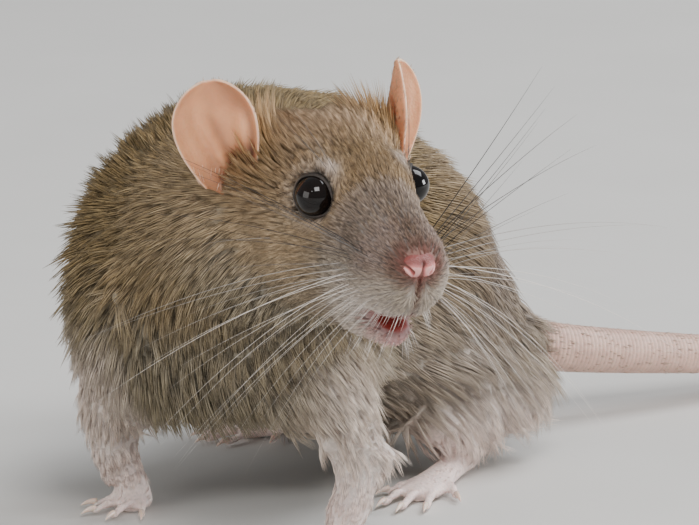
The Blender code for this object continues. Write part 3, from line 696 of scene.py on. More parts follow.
@dataclass
class CoatPlan:
    """What the coat is like at any place: its lie, length, depth and colour.

    Args:
        blend: distance over which one line's coat passes into the next's.
        droop: how far the hair of the flanks sinks towards the floor.
    """

    blend: float = 3.2
    droop: float = 0.55

    def read(self, points: Array) -> dict[str, Array]:
        """Find the coat at each point.

        Args:
            points: places in the rat's own frame.

        Returns:
            Arrays by name: lie, span, depth, colour, head (share of the head), foot (share of
            the feet), rise (from -1 on the under side to 1 on the upper side), stand, and the
            distances gap, nose and mouth from the bare places, with the share lip.
        """
        found = [(line, *self.along_line(points, stations)) for line, stations in LINES.items()]
        best = np.minimum.reduce([row[1] for row in found])
        total, sums = np.zeros(len(points)), {"stand": np.zeros(len(points))}
        for line, distance, values, way, rise in found:
            weight = np.exp(-np.clip((distance - best) / self.blend, 0.0, 40.0))
            total += weight
            colour = lerp(values[:, 5:8], values[:, 2:5], ramp(rise, -0.35, 0.45)[:, None])
            for key, value in (("lie", self.flow(line, points, way, rise)), ("colour", colour), ("span", values[:, 0]),
                               ("depth", values[:, 1]), ("head", line is Line.HEAD), ("foot", line in FEET),
                               ("rise", rise)):
                sums[key] = sums.get(key, 0.0) + (weight[:, None] if np.ndim(value) == 2 else weight) * value
        for key, value in sums.items():
            sums[key] = value / (total[:, None] if value.ndim == 2 else total)
        sums["lie"] = unit(sums["lie"])
        self.mark(points, sums)
        return sums

    def along_line(self, points: Array, stations: list[Station]) -> tuple[Array, Array, Array, Array]:
        """Measure how points stand to one line.

        Args:
            points: places in the rat's own frame.
            stations: the line's stations.

        Returns:
            Their distance beyond the body's reach, the coat's values, the way along the line,
            and their rise from -1 below the line to 1 above it.
        """
        places = np.array([station.place for station in stations])
        reach = np.array([station.reach for station in stations])
        rows = np.array([(s.span, s.depth, *linear(*s.above), *linear(*s.below)) for s in stations])
        best, rises = np.full(len(points), 1e9), np.zeros(len(points))
        values, ways = np.zeros((len(points), rows.shape[1])), np.zeros((len(points), 3))
        for i in range(len(stations) - 1):
            step = places[i + 1] - places[i]
            share = np.clip((points - places[i]) @ step / (step @ step), 0.0, 1.0)
            offset = points - (places[i] + share[:, None] * step)
            radius = lerp(reach[i], reach[i + 1], share)
            distance = np.linalg.norm(offset, axis=1) - radius
            nearer = distance < best
            best = np.where(nearer, distance, best)
            values = np.where(nearer[:, None], lerp(rows[i], rows[i + 1], share[:, None]), values)
            ways = np.where(nearer[:, None], unit(step), ways)
            rises = np.where(nearer, np.clip(offset[:, 2] / radius, -1.0, 1.0), rises)
        return best, values, ways, rises

    def flow(self, line: Line, points: Array, way: Array, rise: Array) -> Array:
        """Find the way the hair points on one line, before it is laid on the skin.

        Args:
            line: the line.
            points: places in the rat's own frame.
            way: the way along the line at each.
            rise: how far each is above the line.

        Returns:
            The way at each point.
        """
        if line is Line.HEAD:
            own = STANCE.from_head(points)
            spread = unit(points - STANCE.head((6.0, 0.0, -3.0)))
            back = unit(lerp(spread, -STANCE.ahead, ramp(-own[:, 0], 4.0, 20.0)[:, None] * 0.6))
            sink = ramp(-own[:, 0], 12.0, 40.0) * ramp(-own[:, 2], -4.0, 10.0)
            return back - 0.5 * sink[:, None] * UP
        if line in (Line.NECK, Line.TRUNK):
            side = 1.0 - ramp(rise, 0.3, 0.95)
            return way + self.droop * side[:, None] * np.array((0.0, 0.25, -1.0))
        return way + np.array((0.0, 0.15, 0.0))

    def mark(self, points: Array, sums: dict[str, Array]) -> None:
        """Add face, chest and leg markings to the colours, the bare places, and painted shade in mouth and cleft.

        Args:
            points: places in the rat's own frame.
            sums: the coat at each, which is changed.
        """
        own = STANCE.from_head(points)
        ahead, side, height = own[:, 0], np.abs(own[:, 1]), own[:, 2]
        head, colour = sums["head"], sums["colour"]
        bridge = head * bump(side, 3.4) * bump(height - 1.0, 6.0) * ramp(-ahead, 3.0, 9.0) * ramp(ahead, -26.0, -14.0)
        tint(colour, 0.4 * bridge, 134, 116, 104)
        tint(colour, 0.8 * (head * ramp(-ahead, 22.0, 34.0) * ramp(height, 6.0, 13.0)), 196, 172, 148)
        tint(colour, 0.7 * (head * ramp(-ahead, 16.0, 26.0) * bump(height + 5.0, 8.0)), 204, 180, 146)
        pads = head * ramp(-ahead, 0.5, 3.0) * ramp(ahead, -19.0, -11.0) * ramp(-height, 2.5, 8.0)
        tint(colour, 0.75 * pads, 200, 190, 184)
        tint(colour, 0.5 * (pads * ramp(-height, 6.0, 11.0)), 232, 224, 218)
        arms = (1.0 - ramp(points[:, 2], 31.0, 42.0)) * ramp(points[:, 2], 12.0, 20.0) * bump(points[:, 1] + 8.0, 19.0)
        arms = arms * np.maximum(ramp(points[:, 0], 17.0, 24.0), ramp(-points[:, 0], 8.0, 14.0))
        tint(colour, 0.8 * arms, 228, 216, 208)
        self.mark_eyes(points, sums)
        brow = head * bump(side - 7.0, 1.6) * bump(height - 9.7, 1.4) * bump(ahead + 21.6, 2.2)
        tint(colour, 0.75 * brow, 214, 200, 192)
        tint(colour, 0.95 * (1.0 - ramp(sums["gap"], 3.85, 4.2)), 46, 38, 35)
        for sign in SIDES.values():
            base = STANCE.head((-38.0, sign * 11.5, 9.0))
            tuft = bump(np.linalg.norm(points - base, axis=1), 6.0) * np.minimum(2.0 * head, 1.0)
            sums["stand"] += tuft
            stand = unit(STANCE.up - 0.25 * STANCE.ahead + 0.15 * sign * STANCE.left)
            sums["lie"] = unit(lerp(sums["lie"], stand, (0.95 * tuft)[:, None]))
            sums["span"] += 4.0 * tuft
            tint(colour, 0.85 * tuft, 166, 134, 92)
        sums["nose"] = nose = 3.0 * np.linalg.norm((own - np.array(Nose.middle)) / np.array(Nose.reach), axis=1)
        tint(colour, 0.85 * (1.0 - ramp(nose, 3.6, 6.0)), 122, 92, 80)
        tint(colour, 0.6 * (1.0 - ramp(nose, 2.9, 3.6)), 146, 92, 84)
        above = head * bump(side, 2.2) * ramp(height, -1.0, 1.5) * bump(ahead + 5.0, 3.2)
        tint(colour, 0.7 * above, 104, 84, 68)
        mouth = np.linalg.norm((own - np.array((-7.4, 0.0, -12.1))) / np.array((6.4, 3.5, 2.2)), axis=1)
        # The cleft under the nose is painted dark red: the skin's own red deepened as painted shade in the groove.
        cleft = head * bump(side, 0.6) * bump(ahead + 2.0, 3.5) * bump(height + 5.0, 3.0)
        tint(colour, 0.95 * cleft, 138, 46, 40)
        lip = head * bump(side, 3.0) * bump(ahead + 8.4, 3.4) * bump(height + 15.4, 1.7)
        sums["span"] *= 1.0 - 0.5 * lip
        sums["mouth"], sums["lip"] = mouth, lip
        tint(colour, 0.9 * lip, 212, 146, 150)
        # The open mouth is painted on the closed skin: a pink rim, then its own red darkened as painted shade of its
        # hollow.
        tint(colour, ramp(-mouth, -1.6, -1.1), 178, 138, 136)
        tint(colour, ramp(-mouth, -1.02, -0.85), 164, 52, 42)

    def mark_eyes(self, points: Array, sums: dict[str, Array]) -> None:
        """Lighten, shorten and spread the hair around the eyes.

        Args:
            points: places in the rat's own frame.
            sums: the coat at each, which is changed and takes the gap to the nearer eye.
        """
        ahead, aside, upward = STANCE.eye
        eyes = STANCE.head([(ahead, sign * aside, upward) for sign in SIDES.values()])
        away = np.linalg.norm(points[:, None, :] - eyes[None], axis=2)
        sums["gap"] = gap = away.min(axis=1)
        tint(sums["colour"], 0.4 * bump(gap - 4.8, 1.2), 176, 162, 152)
        outward = unit(points - eyes[np.argmin(away, axis=1)])
        sums["lie"] = unit(sums["lie"] + (1.3 * bump(gap - 3.6, 2.6))[:, None] * outward)
        sums["span"] *= 0.40 + 0.60 * ramp(gap, 4.0, 9.5)


PLAN = CoatPlan()


# ---------------------------------------------------------------- finishes
@dataclass(frozen=True)
class SkinFinish:
    """Skin under the coat, coloured as the coat is, with a fine nap of short hair.

    Args:
        name: the finish's name.
        dim: how much darker the skin is than the coat over it.
        nap: height of the nap in metres.
    """

    name: str = "skin"
    dim: float = 0.62
    nap: float = 0.0002

    def material(self) -> bpy.types.Material:
        """Make the finish as a material.

        Returns:
            The material.
        """
        material, graph, shader = paint(self.name)
        pelt, place = graph.attribute("pelt"), graph.place()
        fine = graph.noise(place, 1800.0, 3.0)
        bare = graph.math("SUBTRACT", 1.0, graph.math("MULTIPLY", pelt["Alpha"], 2.4, clamp=True))
        colour = graph.vector("SCALE", pelt["Color"], graph.math("MULTIPLY_ADD", bare, 1.0 - self.dim, self.dim))
        dark = graph.steps(fine, (0.3, (0.72, 0.70, 0.68)), (0.7, (1.15, 1.13, 1.10)))
        colour = graph.mix("MULTIPLY", 0.7, colour, dark)
        blotch = graph.steps(graph.noise(place, 160.0), (0.3, (0.88, 0.86, 0.86)), (0.7, (1.08, 1.08, 1.06)))
        graph.feed(shader, {
            "Base Color": graph.mix("MULTIPLY", 0.6, colour, blotch), "Normal": graph.relief(fine, 0.6, self.nap),
            "Roughness": 0.62, "Subsurface Weight": 0.12, "Subsurface Radius": (1.0, 0.4, 0.25),
            "Subsurface Scale": 0.0008})
        return material


@dataclass(frozen=True)
class CoatFinish:
    """Agouti hair: slate at the root, buff along its middle and dark at the tip.

    Args:
        name: the finish's name.
        contrast: how far single hairs differ from one another.
        roughness: roughness of the hair.
    """

    name: str = "coat"
    contrast: float = 1.0
    roughness: float = 0.5

    def material(self) -> bpy.types.Material:
        """Make the finish as a material.

        Returns:
            The material.
        """
        material, graph, shader = paint(self.name)
        pelt = graph.attribute("pelt")
        tone, hue, along = (graph.attribute(name)["Fac"] for name in ("tone", "hue", "along"))
        kinds = graph.steps(graph.math("FRACT", graph.math("ADD", tone, hue)), (0.0, (0.46, 0.43, 0.40)),
                            (0.2, (0.54, 0.50, 0.46)), (0.32, (0.98, 0.94, 0.88)), (0.6, (1.24, 1.15, 0.96)),
                            (0.78, (1.10, 1.08, 1.06)), (0.92, (1.50, 1.48, 1.46)))
        bands = graph.steps(along, (0.0, (0.42, 0.42, 0.44)), (0.3, (0.70, 0.68, 0.68)), (0.55, (1.10, 1.06, 1.00)),
                            (0.82, (1.12, 1.08, 1.00)), (1.0, (0.80, 0.78, 0.76)))
        share = graph.math("MULTIPLY", pelt["Alpha"], self.contrast)
        kinds = graph.mix("MIX", share, (1.08, 1.06, 1.04, 1.0), kinds)
        bands = graph.mix("MIX", share, (1.0, 1.0, 1.0, 1.0), bands)
        colour = graph.mix("MULTIPLY", 1.0, graph.mix("MULTIPLY", 1.0, pelt["Color"], kinds), bands)
        graph.feed(shader, {"Base Color": colour, "Roughness": self.roughness, "Specular IOR Level": 0.35})
        return material


@dataclass(frozen=True)
class GlossFinish:
    """A wet dark eye.

    Args:
        name: the finish's name.
        colour: its colour, from 0 to 255.
    """

    name: str = "eye"
    colour: Triple = (10, 8, 8)

    def material(self) -> bpy.types.Material:
        """Make the finish as a material.

        Returns:
            The material.
        """
        material, graph, shader = paint(self.name)
        cloud = graph.noise(graph.place(), 400.0, 1.0)
        colour = graph.steps(cloud, (0.35, linear(*self.colour)), (0.75, linear(22, 14, 11)))
        graph.feed(shader, {"Base Color": colour, "Roughness": 0.05, "Specular IOR Level": 0.33})
        return material


@dataclass(frozen=True)
class BareFinish:
    """Bare living skin, thin enough for light to pass a little way through, its colour deepened by painted shade in
    folds.

    Args:
        name: the finish's name.
        light: its colour where the painted shade is least, from 0 to 255.
        deep: its colour where the painted shade is deepest, in folds, grooves and slits.
        grain: places of its fine relief for each metre.
        relief: height of that relief in metres.
        roughness: roughness of its surface.
        glow: how much light passes through it.
        edge: its colour where there is no painted shade at all, a paler painted highlight, if that is another.
    """

    name: str
    light: Triple
    deep: Triple
    grain: float
    relief: float
    roughness: float
    glow: float
    edge: Triple | None = None

    def material(self) -> bpy.types.Material:
        """Make the finish as a material.

        Returns:
            The material.
        """
        material, graph, shader = paint(self.name)
        place = graph.place()
        cells = graph.add("ShaderNodeTexVoronoi", {"Vector": place, "Scale": self.grain * 0.8}).outputs[0]
        height = graph.math("ADD", graph.noise(place, self.grain, 4.0), cells)
        # The colour runs from light to deep by the piece's painted shade and tone, read from its attribute.
        stops = [(0.3, linear(*self.light)), (1.0, linear(*self.deep))]
        if self.edge:
            stops.insert(0, (0.05, linear(*self.edge)))
        colour = graph.steps(graph.attribute("fold")["Fac"], *stops)
        blotch = graph.noise(place, self.grain * 0.12)
        blotch = graph.steps(blotch, (0.3, (0.86, 0.80, 0.80)), (0.7, (1.08, 1.06, 1.06)))
        graph.feed(shader, {
            "Base Color": graph.mix("MULTIPLY", 0.8, colour, blotch), "Normal": graph.relief(height, 0.5, self.relief),
            "Roughness": self.roughness, "Subsurface Weight": self.glow, "Subsurface Radius": (1.0, 0.35, 0.2),
            "Subsurface Scale": 0.0012})
        return material


@dataclass(frozen=True)
class HairFinish:
    """Stiff single hairs, from dark to white by the piece's own shade.

    Args:
        name: the finish's name.
        dark: colour at shade 0, from 0 to 255.
        white: colour at shade 1.
    """

    name: str = "whisker"
    dark: Triple = (30, 24, 21)
    white: Triple = (240, 232, 224)

    def material(self) -> bpy.types.Material:
        """Make the finish as a material.

        Returns:
            The material.
        """
        material, graph, shader = paint(self.name)
        colour = graph.steps(graph.attribute("shade")["Fac"], (0.0, linear(*self.dark)), (1.0, linear(*self.white)))
        graph.feed(shader, {"Base Color": colour, "Roughness": 0.35})
        return material


# Deep colours are painted shade in folds; the ear's edge colour is painted rim light, the nose's a painted highlight on
# its swellings.
EAR_SKIN = BareFinish("ear", (228, 166, 122), (92, 42, 27), 2200.0, 0.0001, 0.5, 0.34, (242, 204, 176))
NOSE_SKIN = BareFinish("nose", (210, 132, 128), (100, 42, 36), 4200.0, 0.0002, 0.36, 0.22, (236, 180, 174))
TAIL_SKIN = BareFinish("tail", (216, 182, 166), (140, 110, 98), 3000.0, 0.00006, 0.5, 0.15)
CLAW_HORN = BareFinish("claw", (226, 206, 192), (150, 110, 96), 1500.0, 0.00003, 0.25, 0.25)


# ---------------------------------------------------------------- the skin
def relax(points: Array, faces: Array, share: object, rounds: int = 1) -> Array:
    """Move points towards the middle of their neighbours.

    Args:
        points: vertex places, or other rows of three numbers.
        faces: vertex numbers of the triangles.
        share: the share of the way, for all vertices or for each.
        rounds: how often they move.

    Returns:
        The moved places.
    """
    pairs = [(faces[:, a], faces[:, b]) for a, b in ((0, 1), (1, 0), (1, 2), (2, 1), (2, 0), (0, 2))]
    count = sum(np.bincount(first, minlength=len(points)) for first, _ in pairs)
    for _ in range(rounds):
        total = np.zeros_like(points)
        for first, second in pairs:
            for axis in range(3):
                total[:, axis] += np.bincount(first, points[second, axis], len(points))
        points = points + np.reshape(share, (-1, 1)) * (total / np.maximum(count, 1.0)[:, None] - points)
    return points


def from_tail(points: Array) -> tuple[Array, Array, Array]:
    """Measure points from the root of the tail.

    Args:
        points: places in the rat's own frame.

    Returns:
        How far they are along the tail, how far from its line, and the way out from the line.
    """
    start, end = np.array(Tail.course[0]), np.array(Tail.course[1])
    axis = unit(end - start)
    beyond = (points - start) @ axis
    aside = points - start - beyond[:, None] * axis
    return beyond, np.linalg.norm(aside, axis=1), aside


@dataclass
class Skin:
    """One skin over the flesh of the whole body, sunk below the tips of the coat.

    Args:
        flesh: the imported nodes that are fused.
        feet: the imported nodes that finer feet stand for.
        grain: size of the cells in which the flesh is fused.
        swell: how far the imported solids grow, so that the cuts between them close.
        smoothing: rounds of smoothing after the fusing.
        triangles: triangles of the finished skin.
        eye_radius: radius of an eye.
        sole: for each ring of a sole, its share of the length and of the width.
        toe: for each knuckle or pad of a toe, its share of the length, its height and radius.
        floor: height of the lowest skin above the floor, in metres.
        obj: the skin once it is fused.
    """

    flesh: tuple[str, ...] = ("head", "lower_jaw", "neck", "chest", "belly", "rump", "foreleg_left", "foreleg_right",
                              "hindleg_left", "hindleg_right")
    feet: tuple[str, ...] = ("forefoot_left", "forefoot_right", "hindfoot_left", "hindfoot_right")
    grain: float = 0.5
    swell: float = 0.24
    smoothing: int = 9
    triangles: int = 150000
    eye_radius: float = 3.45
    sole: tuple[tuple[float, float], ...] = (
        (-0.06, 0.30), (0.06, 0.56), (0.3, 0.60), (0.6, 0.72), (0.85, 0.96), (1.0, 0.84), (1.1, 0.5))
    toe: tuple[Triple, ...] = ((-0.2, 0.2, 1.15), (0.12, 0.55, 1.15), (0.3, 0.45, 0.92), (0.48, 0.5, 1.08),
                               (0.66, 0.1, 0.84), (0.82, -0.15, 0.98), (0.94, -0.25, 0.92), (1.02, -0.3, 0.55))
    floor: float = 0.00004
    obj: bpy.types.Object = field(init=False, default=None)

    def build(self) -> bpy.types.Object:
        """Make the skin and dress it.

        Returns:
            The skin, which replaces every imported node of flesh.
        """
        self.obj = self.gather()
        for step in (self.fuse, self.sink, self.sculpt, self.add_lids, self.colour, self.unwrap):
            step()
        settle(self.obj, SkinFinish().material(), "coat", *self.flesh, *self.feet)
        return self.obj

    def gather(self) -> bpy.types.Object:
        """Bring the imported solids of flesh, a little swollen, and finer feet into one mesh.

        Returns:
            The object that holds the mesh.
        """
        whole = bmesh.new()
        for name in (*self.flesh, "nose"):
            part, mesh = bmesh.new(), bpy.data.meshes.new("part")
            part.from_mesh(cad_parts[name].data)
            bmesh.ops.remove_doubles(part, verts=part.verts, dist=1e-6)
            part.normal_update()
            for vert in part.verts:
                vert.co += self.swell * MM * vert.normal
            part.to_mesh(mesh)
            part.free()
            whole.from_mesh(mesh)
            bpy.data.meshes.remove(mesh)
        pile = Pile()
        for foot in FEET.values():
            self.add_foot(foot, pile)
        verts = [whole.verts.new(point) for point in STANCE.metres(np.array(pile.points))]
        for face in pile.faces:
            whole.faces.new([verts[i] for i in face])
        mesh = bpy.data.meshes.new("skin")
        whole.to_mesh(mesh)
        whole.free()
        return link("skin", mesh)

    def add_foot(self, foot: Foot, pile: Pile) -> None:
        """Add the sole, the shank and the jointed toes of a foot.

        Args:
            foot: the foot.
            pile: what they are added to.
        """
        heel, ahead, left = foot.ways
        angles = np.linspace(0.0, 2.0 * pi, 20, endpoint=False)[:, None]
        slope = 0.35 if foot.length < 10.0 else 0.5
        rings = []
        for share, spread in self.sole:
            rise = foot.height * (1.0 - slope * share)
            centre = heel + share * foot.length * ahead + 0.4 * rise * UP
            height = np.where(np.sin(angles) > 0, 0.6 * rise, 0.42 * rise)
            rings.append(centre + 0.5 * foot.width * spread * np.cos(angles) * left + height * np.sin(angles) * UP)
        pile.tube(rings)
        shank = smooth_path(foot.shank, 4)
        pile.tube(rings_along(shank[:, :3], shank[:, 3], 20))
        fine = smooth_path(self.toe, 3)
        for root, way, reach in foot.toe_ways():
            path = root + 1.25 * UP + (fine[:, :1] * reach) * way + fine[:, 1:2] * UP
            pile.tube(rings_along(path, fine[:, 2], 12, 0.92))

    def fuse(self) -> None:
        """Fuse the parts into one closed skin, with more triangles on the head and the feet."""
        remesh = self.obj.modifiers.new("fuse", "REMESH")
        remesh.mode, remesh.voxel_size = "VOXEL", self.grain * MM
        smooth = self.obj.modifiers.new("relax", "SMOOTH")
        smooth.factor, smooth.iterations = 0.5, self.smoothing
        bake_modifiers(self.obj)
        points = STANCE.own(vertex_array(self.obj.data))
        near = np.linalg.norm(points - STANCE.head((-14.0, 0.0, -2.0)), axis=1)
        plain = ramp(near, 18.0, 40.0) * ramp(points[:, 2], 7.0, 14.0)
        group = self.obj.vertex_groups.new(name="plain")
        for step in range(1, 11):
            group.add(np.nonzero(np.round(plain * 10) == step)[0].tolist(), step / 10, "REPLACE")
        thin = self.obj.modifiers.new("thin", "DECIMATE")
        thin.ratio = self.triangles / (2.0 * len(self.obj.data.polygons))
        thin.use_collapse_triangulate = True
        thin.vertex_group, thin.vertex_group_factor = "plain", 1.0
        bake_modifiers(self.obj)
        self.obj.vertex_groups.clear()
        with edited(self.obj.data) as bm:
            bmesh.ops.triangulate(bm, faces=bm.faces)
        self.obj.data.shade_smooth()

    def sink(self) -> None:
        """Sink the skin below the tips of the coat, in a few smoothed steps."""
        mesh = self.obj.data
        points, normals, faces = vertex_array(mesh), normal_array(mesh), face_array(mesh)
        plan = PLAN.read(STANCE.own(points))
        depth = plan["depth"] * ramp(plan["gap"], 3.8, 9.0) * ramp(plan["mouth"], 0.9, 2.0)
        for _ in range(3):
            normals = unit(relax(normals, faces, 0.8))
        hollow = np.sum((relax(points, faces, 0.9, 40) - points) * normals, axis=1) / MM
        depth = self.roomy(points, normals, depth * (1.0 - ramp(hollow, 0.0, 0.3)))
        for _ in range(16):
            depth = np.minimum(depth, relax(np.column_stack((depth, depth, depth)), faces, 0.8)[:, 0])
        points = relax(points - (depth * MM)[:, None] * normals, faces, np.clip(depth * 0.25, 0.0, 0.5), 4)
        points[:, 2] = np.maximum(points[:, 2], self.floor)
        put_vertices(mesh, points)

    def roomy(self, points: Array, normals: Array, depth: Array) -> Array:
        """Find how deep each vertex can sink without crossing flesh that sinks from another side.

        Args:
            points: vertex places, in metres.
            normals: directions out of the skin.
            depth: the wanted depth.

        Returns:
            The depth, smaller where a ball of that radius doesn't fit under the skin.
        """
        faces = [tuple(face.vertices) for face in self.obj.data.polygons]
        tree = BVHTree.FromPolygons([tuple(point) for point in points], faces)
        least, room, step = 0.2, 1.3, 0.82
        depth = depth.copy()
        left = np.nonzero(depth > least)[0]
        for _ in range(12):
            centres = points[left] - (room * depth[left] * MM)[:, None] * normals[left]
            free = np.array([tree.find_nearest(centre)[3] for centre in centres.tolist()]) / MM
            left = left[free < 0.9 * room * depth[left]]
            depth[left] *= step
            left = left[depth[left] > least]
            if not len(left):
                break
        return depth

    def sculpt(self) -> None:
        """Add brows, whisker pads, the groove under the nose, lips, eye rims and the tail's root."""
        points, normals = vertex_array(self.obj.data), normal_array(self.obj.data)
        places = STANCE.own(points)
        own = STANCE.from_head(places)
        ahead, side, height = own[:, 0], np.abs(own[:, 1]), own[:, 2]
        lift = 0.45 * bump(ahead + 8.5, 4.0) * bump(side - 7.0, 3.5) * bump(height + 4.8, 3.4)
        lift += 0.5 * bump(ahead + 21.0, 4.2) * bump(side - 7.6, 2.4) * bump(height - 9.6, 2.0)
        lift -= 0.75 * bump(side, 0.42) * ramp(ahead, -4.5, -2.0) * ramp(-height, 2.4, 3.6)
        lift -= 0.5 * bump(side, 0.9) * bump(ahead + 1.5, 2.2) * bump(height + 7.5, 3.4)
        lift += 0.3 * bump(side - 1.9, 1.1) * bump(ahead + 1.2, 2.0) * bump(height + 6.8, 2.4)
        lift -= 0.5 * bump(ahead + 15.0, 3.0) * bump(side - 8.5, 3.0) * bump(height - 1.5, 2.2)
        lift *= ramp(ahead, -60.0, -50.0) * ramp(places[:, 2], 30.0, 42.0)
        lift += 4.5 * bump(np.linalg.norm(places - np.array((9.0, 50.0, 45.0)), axis=1), 17.0)
        points = points + (lift * MM)[:, None] * normals
        points = self.press_nose(points)
        for sign in SIDES.values():
            points = self.open_eye(points, sign)
        beyond, radius, aside = from_tail(STANCE.own(points))
        limit = Tail.root + 2.6 * (1.0 - ramp(beyond, -3.0, 6.0)) - 2.0 * ramp(beyond, 3.0, 10.0)
        stump = ramp(beyond, -4.0, 0.0) * (radius < 13.0)
        shrink = np.maximum(radius - limit, 0.0) / np.maximum(radius, 0.1) * stump
        put_vertices(self.obj.data, points - (shrink[:, None] * aside) * MM)

    def press_nose(self, points: Array) -> Array:
        """Press the skin in around the nose pad.

        Args:
            points: vertex places, in metres.

        Returns:
            The moved places.
        """
        offset = STANCE.own(points) - STANCE.head(Nose.middle)
        reach = np.array((offset @ STANCE.ahead, offset @ STANCE.left, offset @ STANCE.up)).T / np.array(Nose.reach)
        beyond = np.linalg.norm(reach, axis=1)
        pressed = beyond - 0.22 * (1.0 - ramp(beyond, 1.0, 1.45))
        return points + (pressed / np.maximum(beyond, 0.1) - 1.0)[:, None] * offset * MM

    def open_eye(self, points: Array, sign: float) -> Array:
        """Press the skin back from an eye.

        Args:
            points: vertex places, in metres.
            sign: 1 for the left eye, -1 for the right.

        Returns:
            The moved places.
        """
        axis = STANCE.gaze(sign)
        offset = STANCE.own(points) - STANCE.eye_middle(sign)
        height = offset @ axis
        away = np.linalg.norm(offset - height[:, None] * axis, axis=1)
        brim = 0.08 * self.eye_radius + 0.50 * np.maximum(away - 0.9 * self.eye_radius, 0.0)
        over = np.maximum(height - brim, 0.0) * (1.0 - ramp(away, 8.0, 11.0)) * (np.abs(height) < 9.0)
        return points - (over * MM)[:, None] * axis

    def add_lids(self) -> None:
        """Add a thin lid all round each eye, drawn out to a corner in front and behind."""
        pile, sides = Pile(), 10
        for sign in SIDES.values():
            centre, axis = STANCE.eye_middle(sign), STANCE.gaze(sign)
            level = unit(STANCE.ahead - (STANCE.ahead @ axis) * axis - 0.22 * STANCE.up)
            level = unit(level - (level @ axis) * axis)
            rings = []
            for turn in np.linspace(0.0, 2.0 * pi, 56, endpoint=False):
                corner = abs(cos(turn)) ** 6
                slope = radians(80.0 + 6.0 * corner)
                out = cos(turn) * level + sin(turn) * np.cross(level, axis)
                reach = self.eye_radius * (1.03 + 0.10 * corner)
                middle = centre + reach * (cos(slope) * axis + sin(slope) * out)
                radial = unit(middle - centre)
                across = np.cross(radial, unit(np.cross(axis, out)))
                angles = [2.0 * pi * number / sides for number in range(sides)]
                rings.append([middle + 0.26 * cos(angle) * radial + 0.50 * sin(angle) * across for angle in angles])
            pile.tube(rings, closed=True)
        lids = pile.piece("lids")
        with edited(self.obj.data) as bm:
            bm.from_mesh(lids.data)
            bmesh.ops.triangulate(bm, faces=bm.faces)
        discard(lids)
        self.obj.data.shade_smooth()

    def colour(self) -> None:
        """Store what the coat is like at each vertex: its colour, lie, length and cover."""
        mesh = self.obj.data
        points, normals = STANCE.own(vertex_array(mesh)), normal_array(mesh)
        plan = PLAN.read(points)
        head, span = plan["head"], plan["span"]
        beyond, radius, _ = from_tail(points)
        cover = ramp(plan["gap"], 3.75, 4.25) * ramp(plan["nose"], 2.5, 2.9) * ramp(plan["mouth"], 1.0, 1.3)
        cover *= ramp(points[:, 2], 0.5, 1.2)
        cover *= 1.0 - ramp(beyond, 4.0, 8.0) * (radius < 8.0)
        cover *= lerp(np.clip(5.5 / span, 0.8, 2.0), np.clip(2.6 / span, 0.8, 2.2), head)
        cover *= (1.0 - 0.8 * plan["lip"]) * (1.0 - 0.35 * ramp(-normals[:, 2], 0.6, 0.9))
        alpha = np.clip(1.0 - plan["foot"], 0.0, 1.0) * ramp(plan["nose"], 3.0, 5.0)
        dark = ramp(-np.linalg.norm(plan["colour"], axis=1), -0.75, -0.35)
        strength = (0.72 + 0.28 * head) * alpha * (0.35 + 0.65 * dark)
        lie = unit(along_skin(plan["lie"], normals)) + (0.7 * plan["stand"])[:, None] * normals
        put(mesh, pelt=np.column_stack((plan["colour"], strength)), lie=unit(lie), span=span * MM, cover=cover,
            head_share=head, foot_share=plan["foot"], rise=plan["rise"])

    def unwrap(self) -> None:
        """Unwrap the skin by its own shape, in islands of like facing."""
        self.obj.data.uv_layers.new(name="Unwrap")
        bpy.context.view_layer.objects.active = self.obj
        self.obj.select_set(True)
        bpy.ops.object.mode_set(mode="EDIT")
        bpy.ops.mesh.select_all(action="SELECT")
        bpy.ops.uv.smart_project(angle_limit=radians(70.0), island_margin=0.001)
        bpy.ops.object.mode_set(mode="OBJECT")
        self.obj.select_set(False)


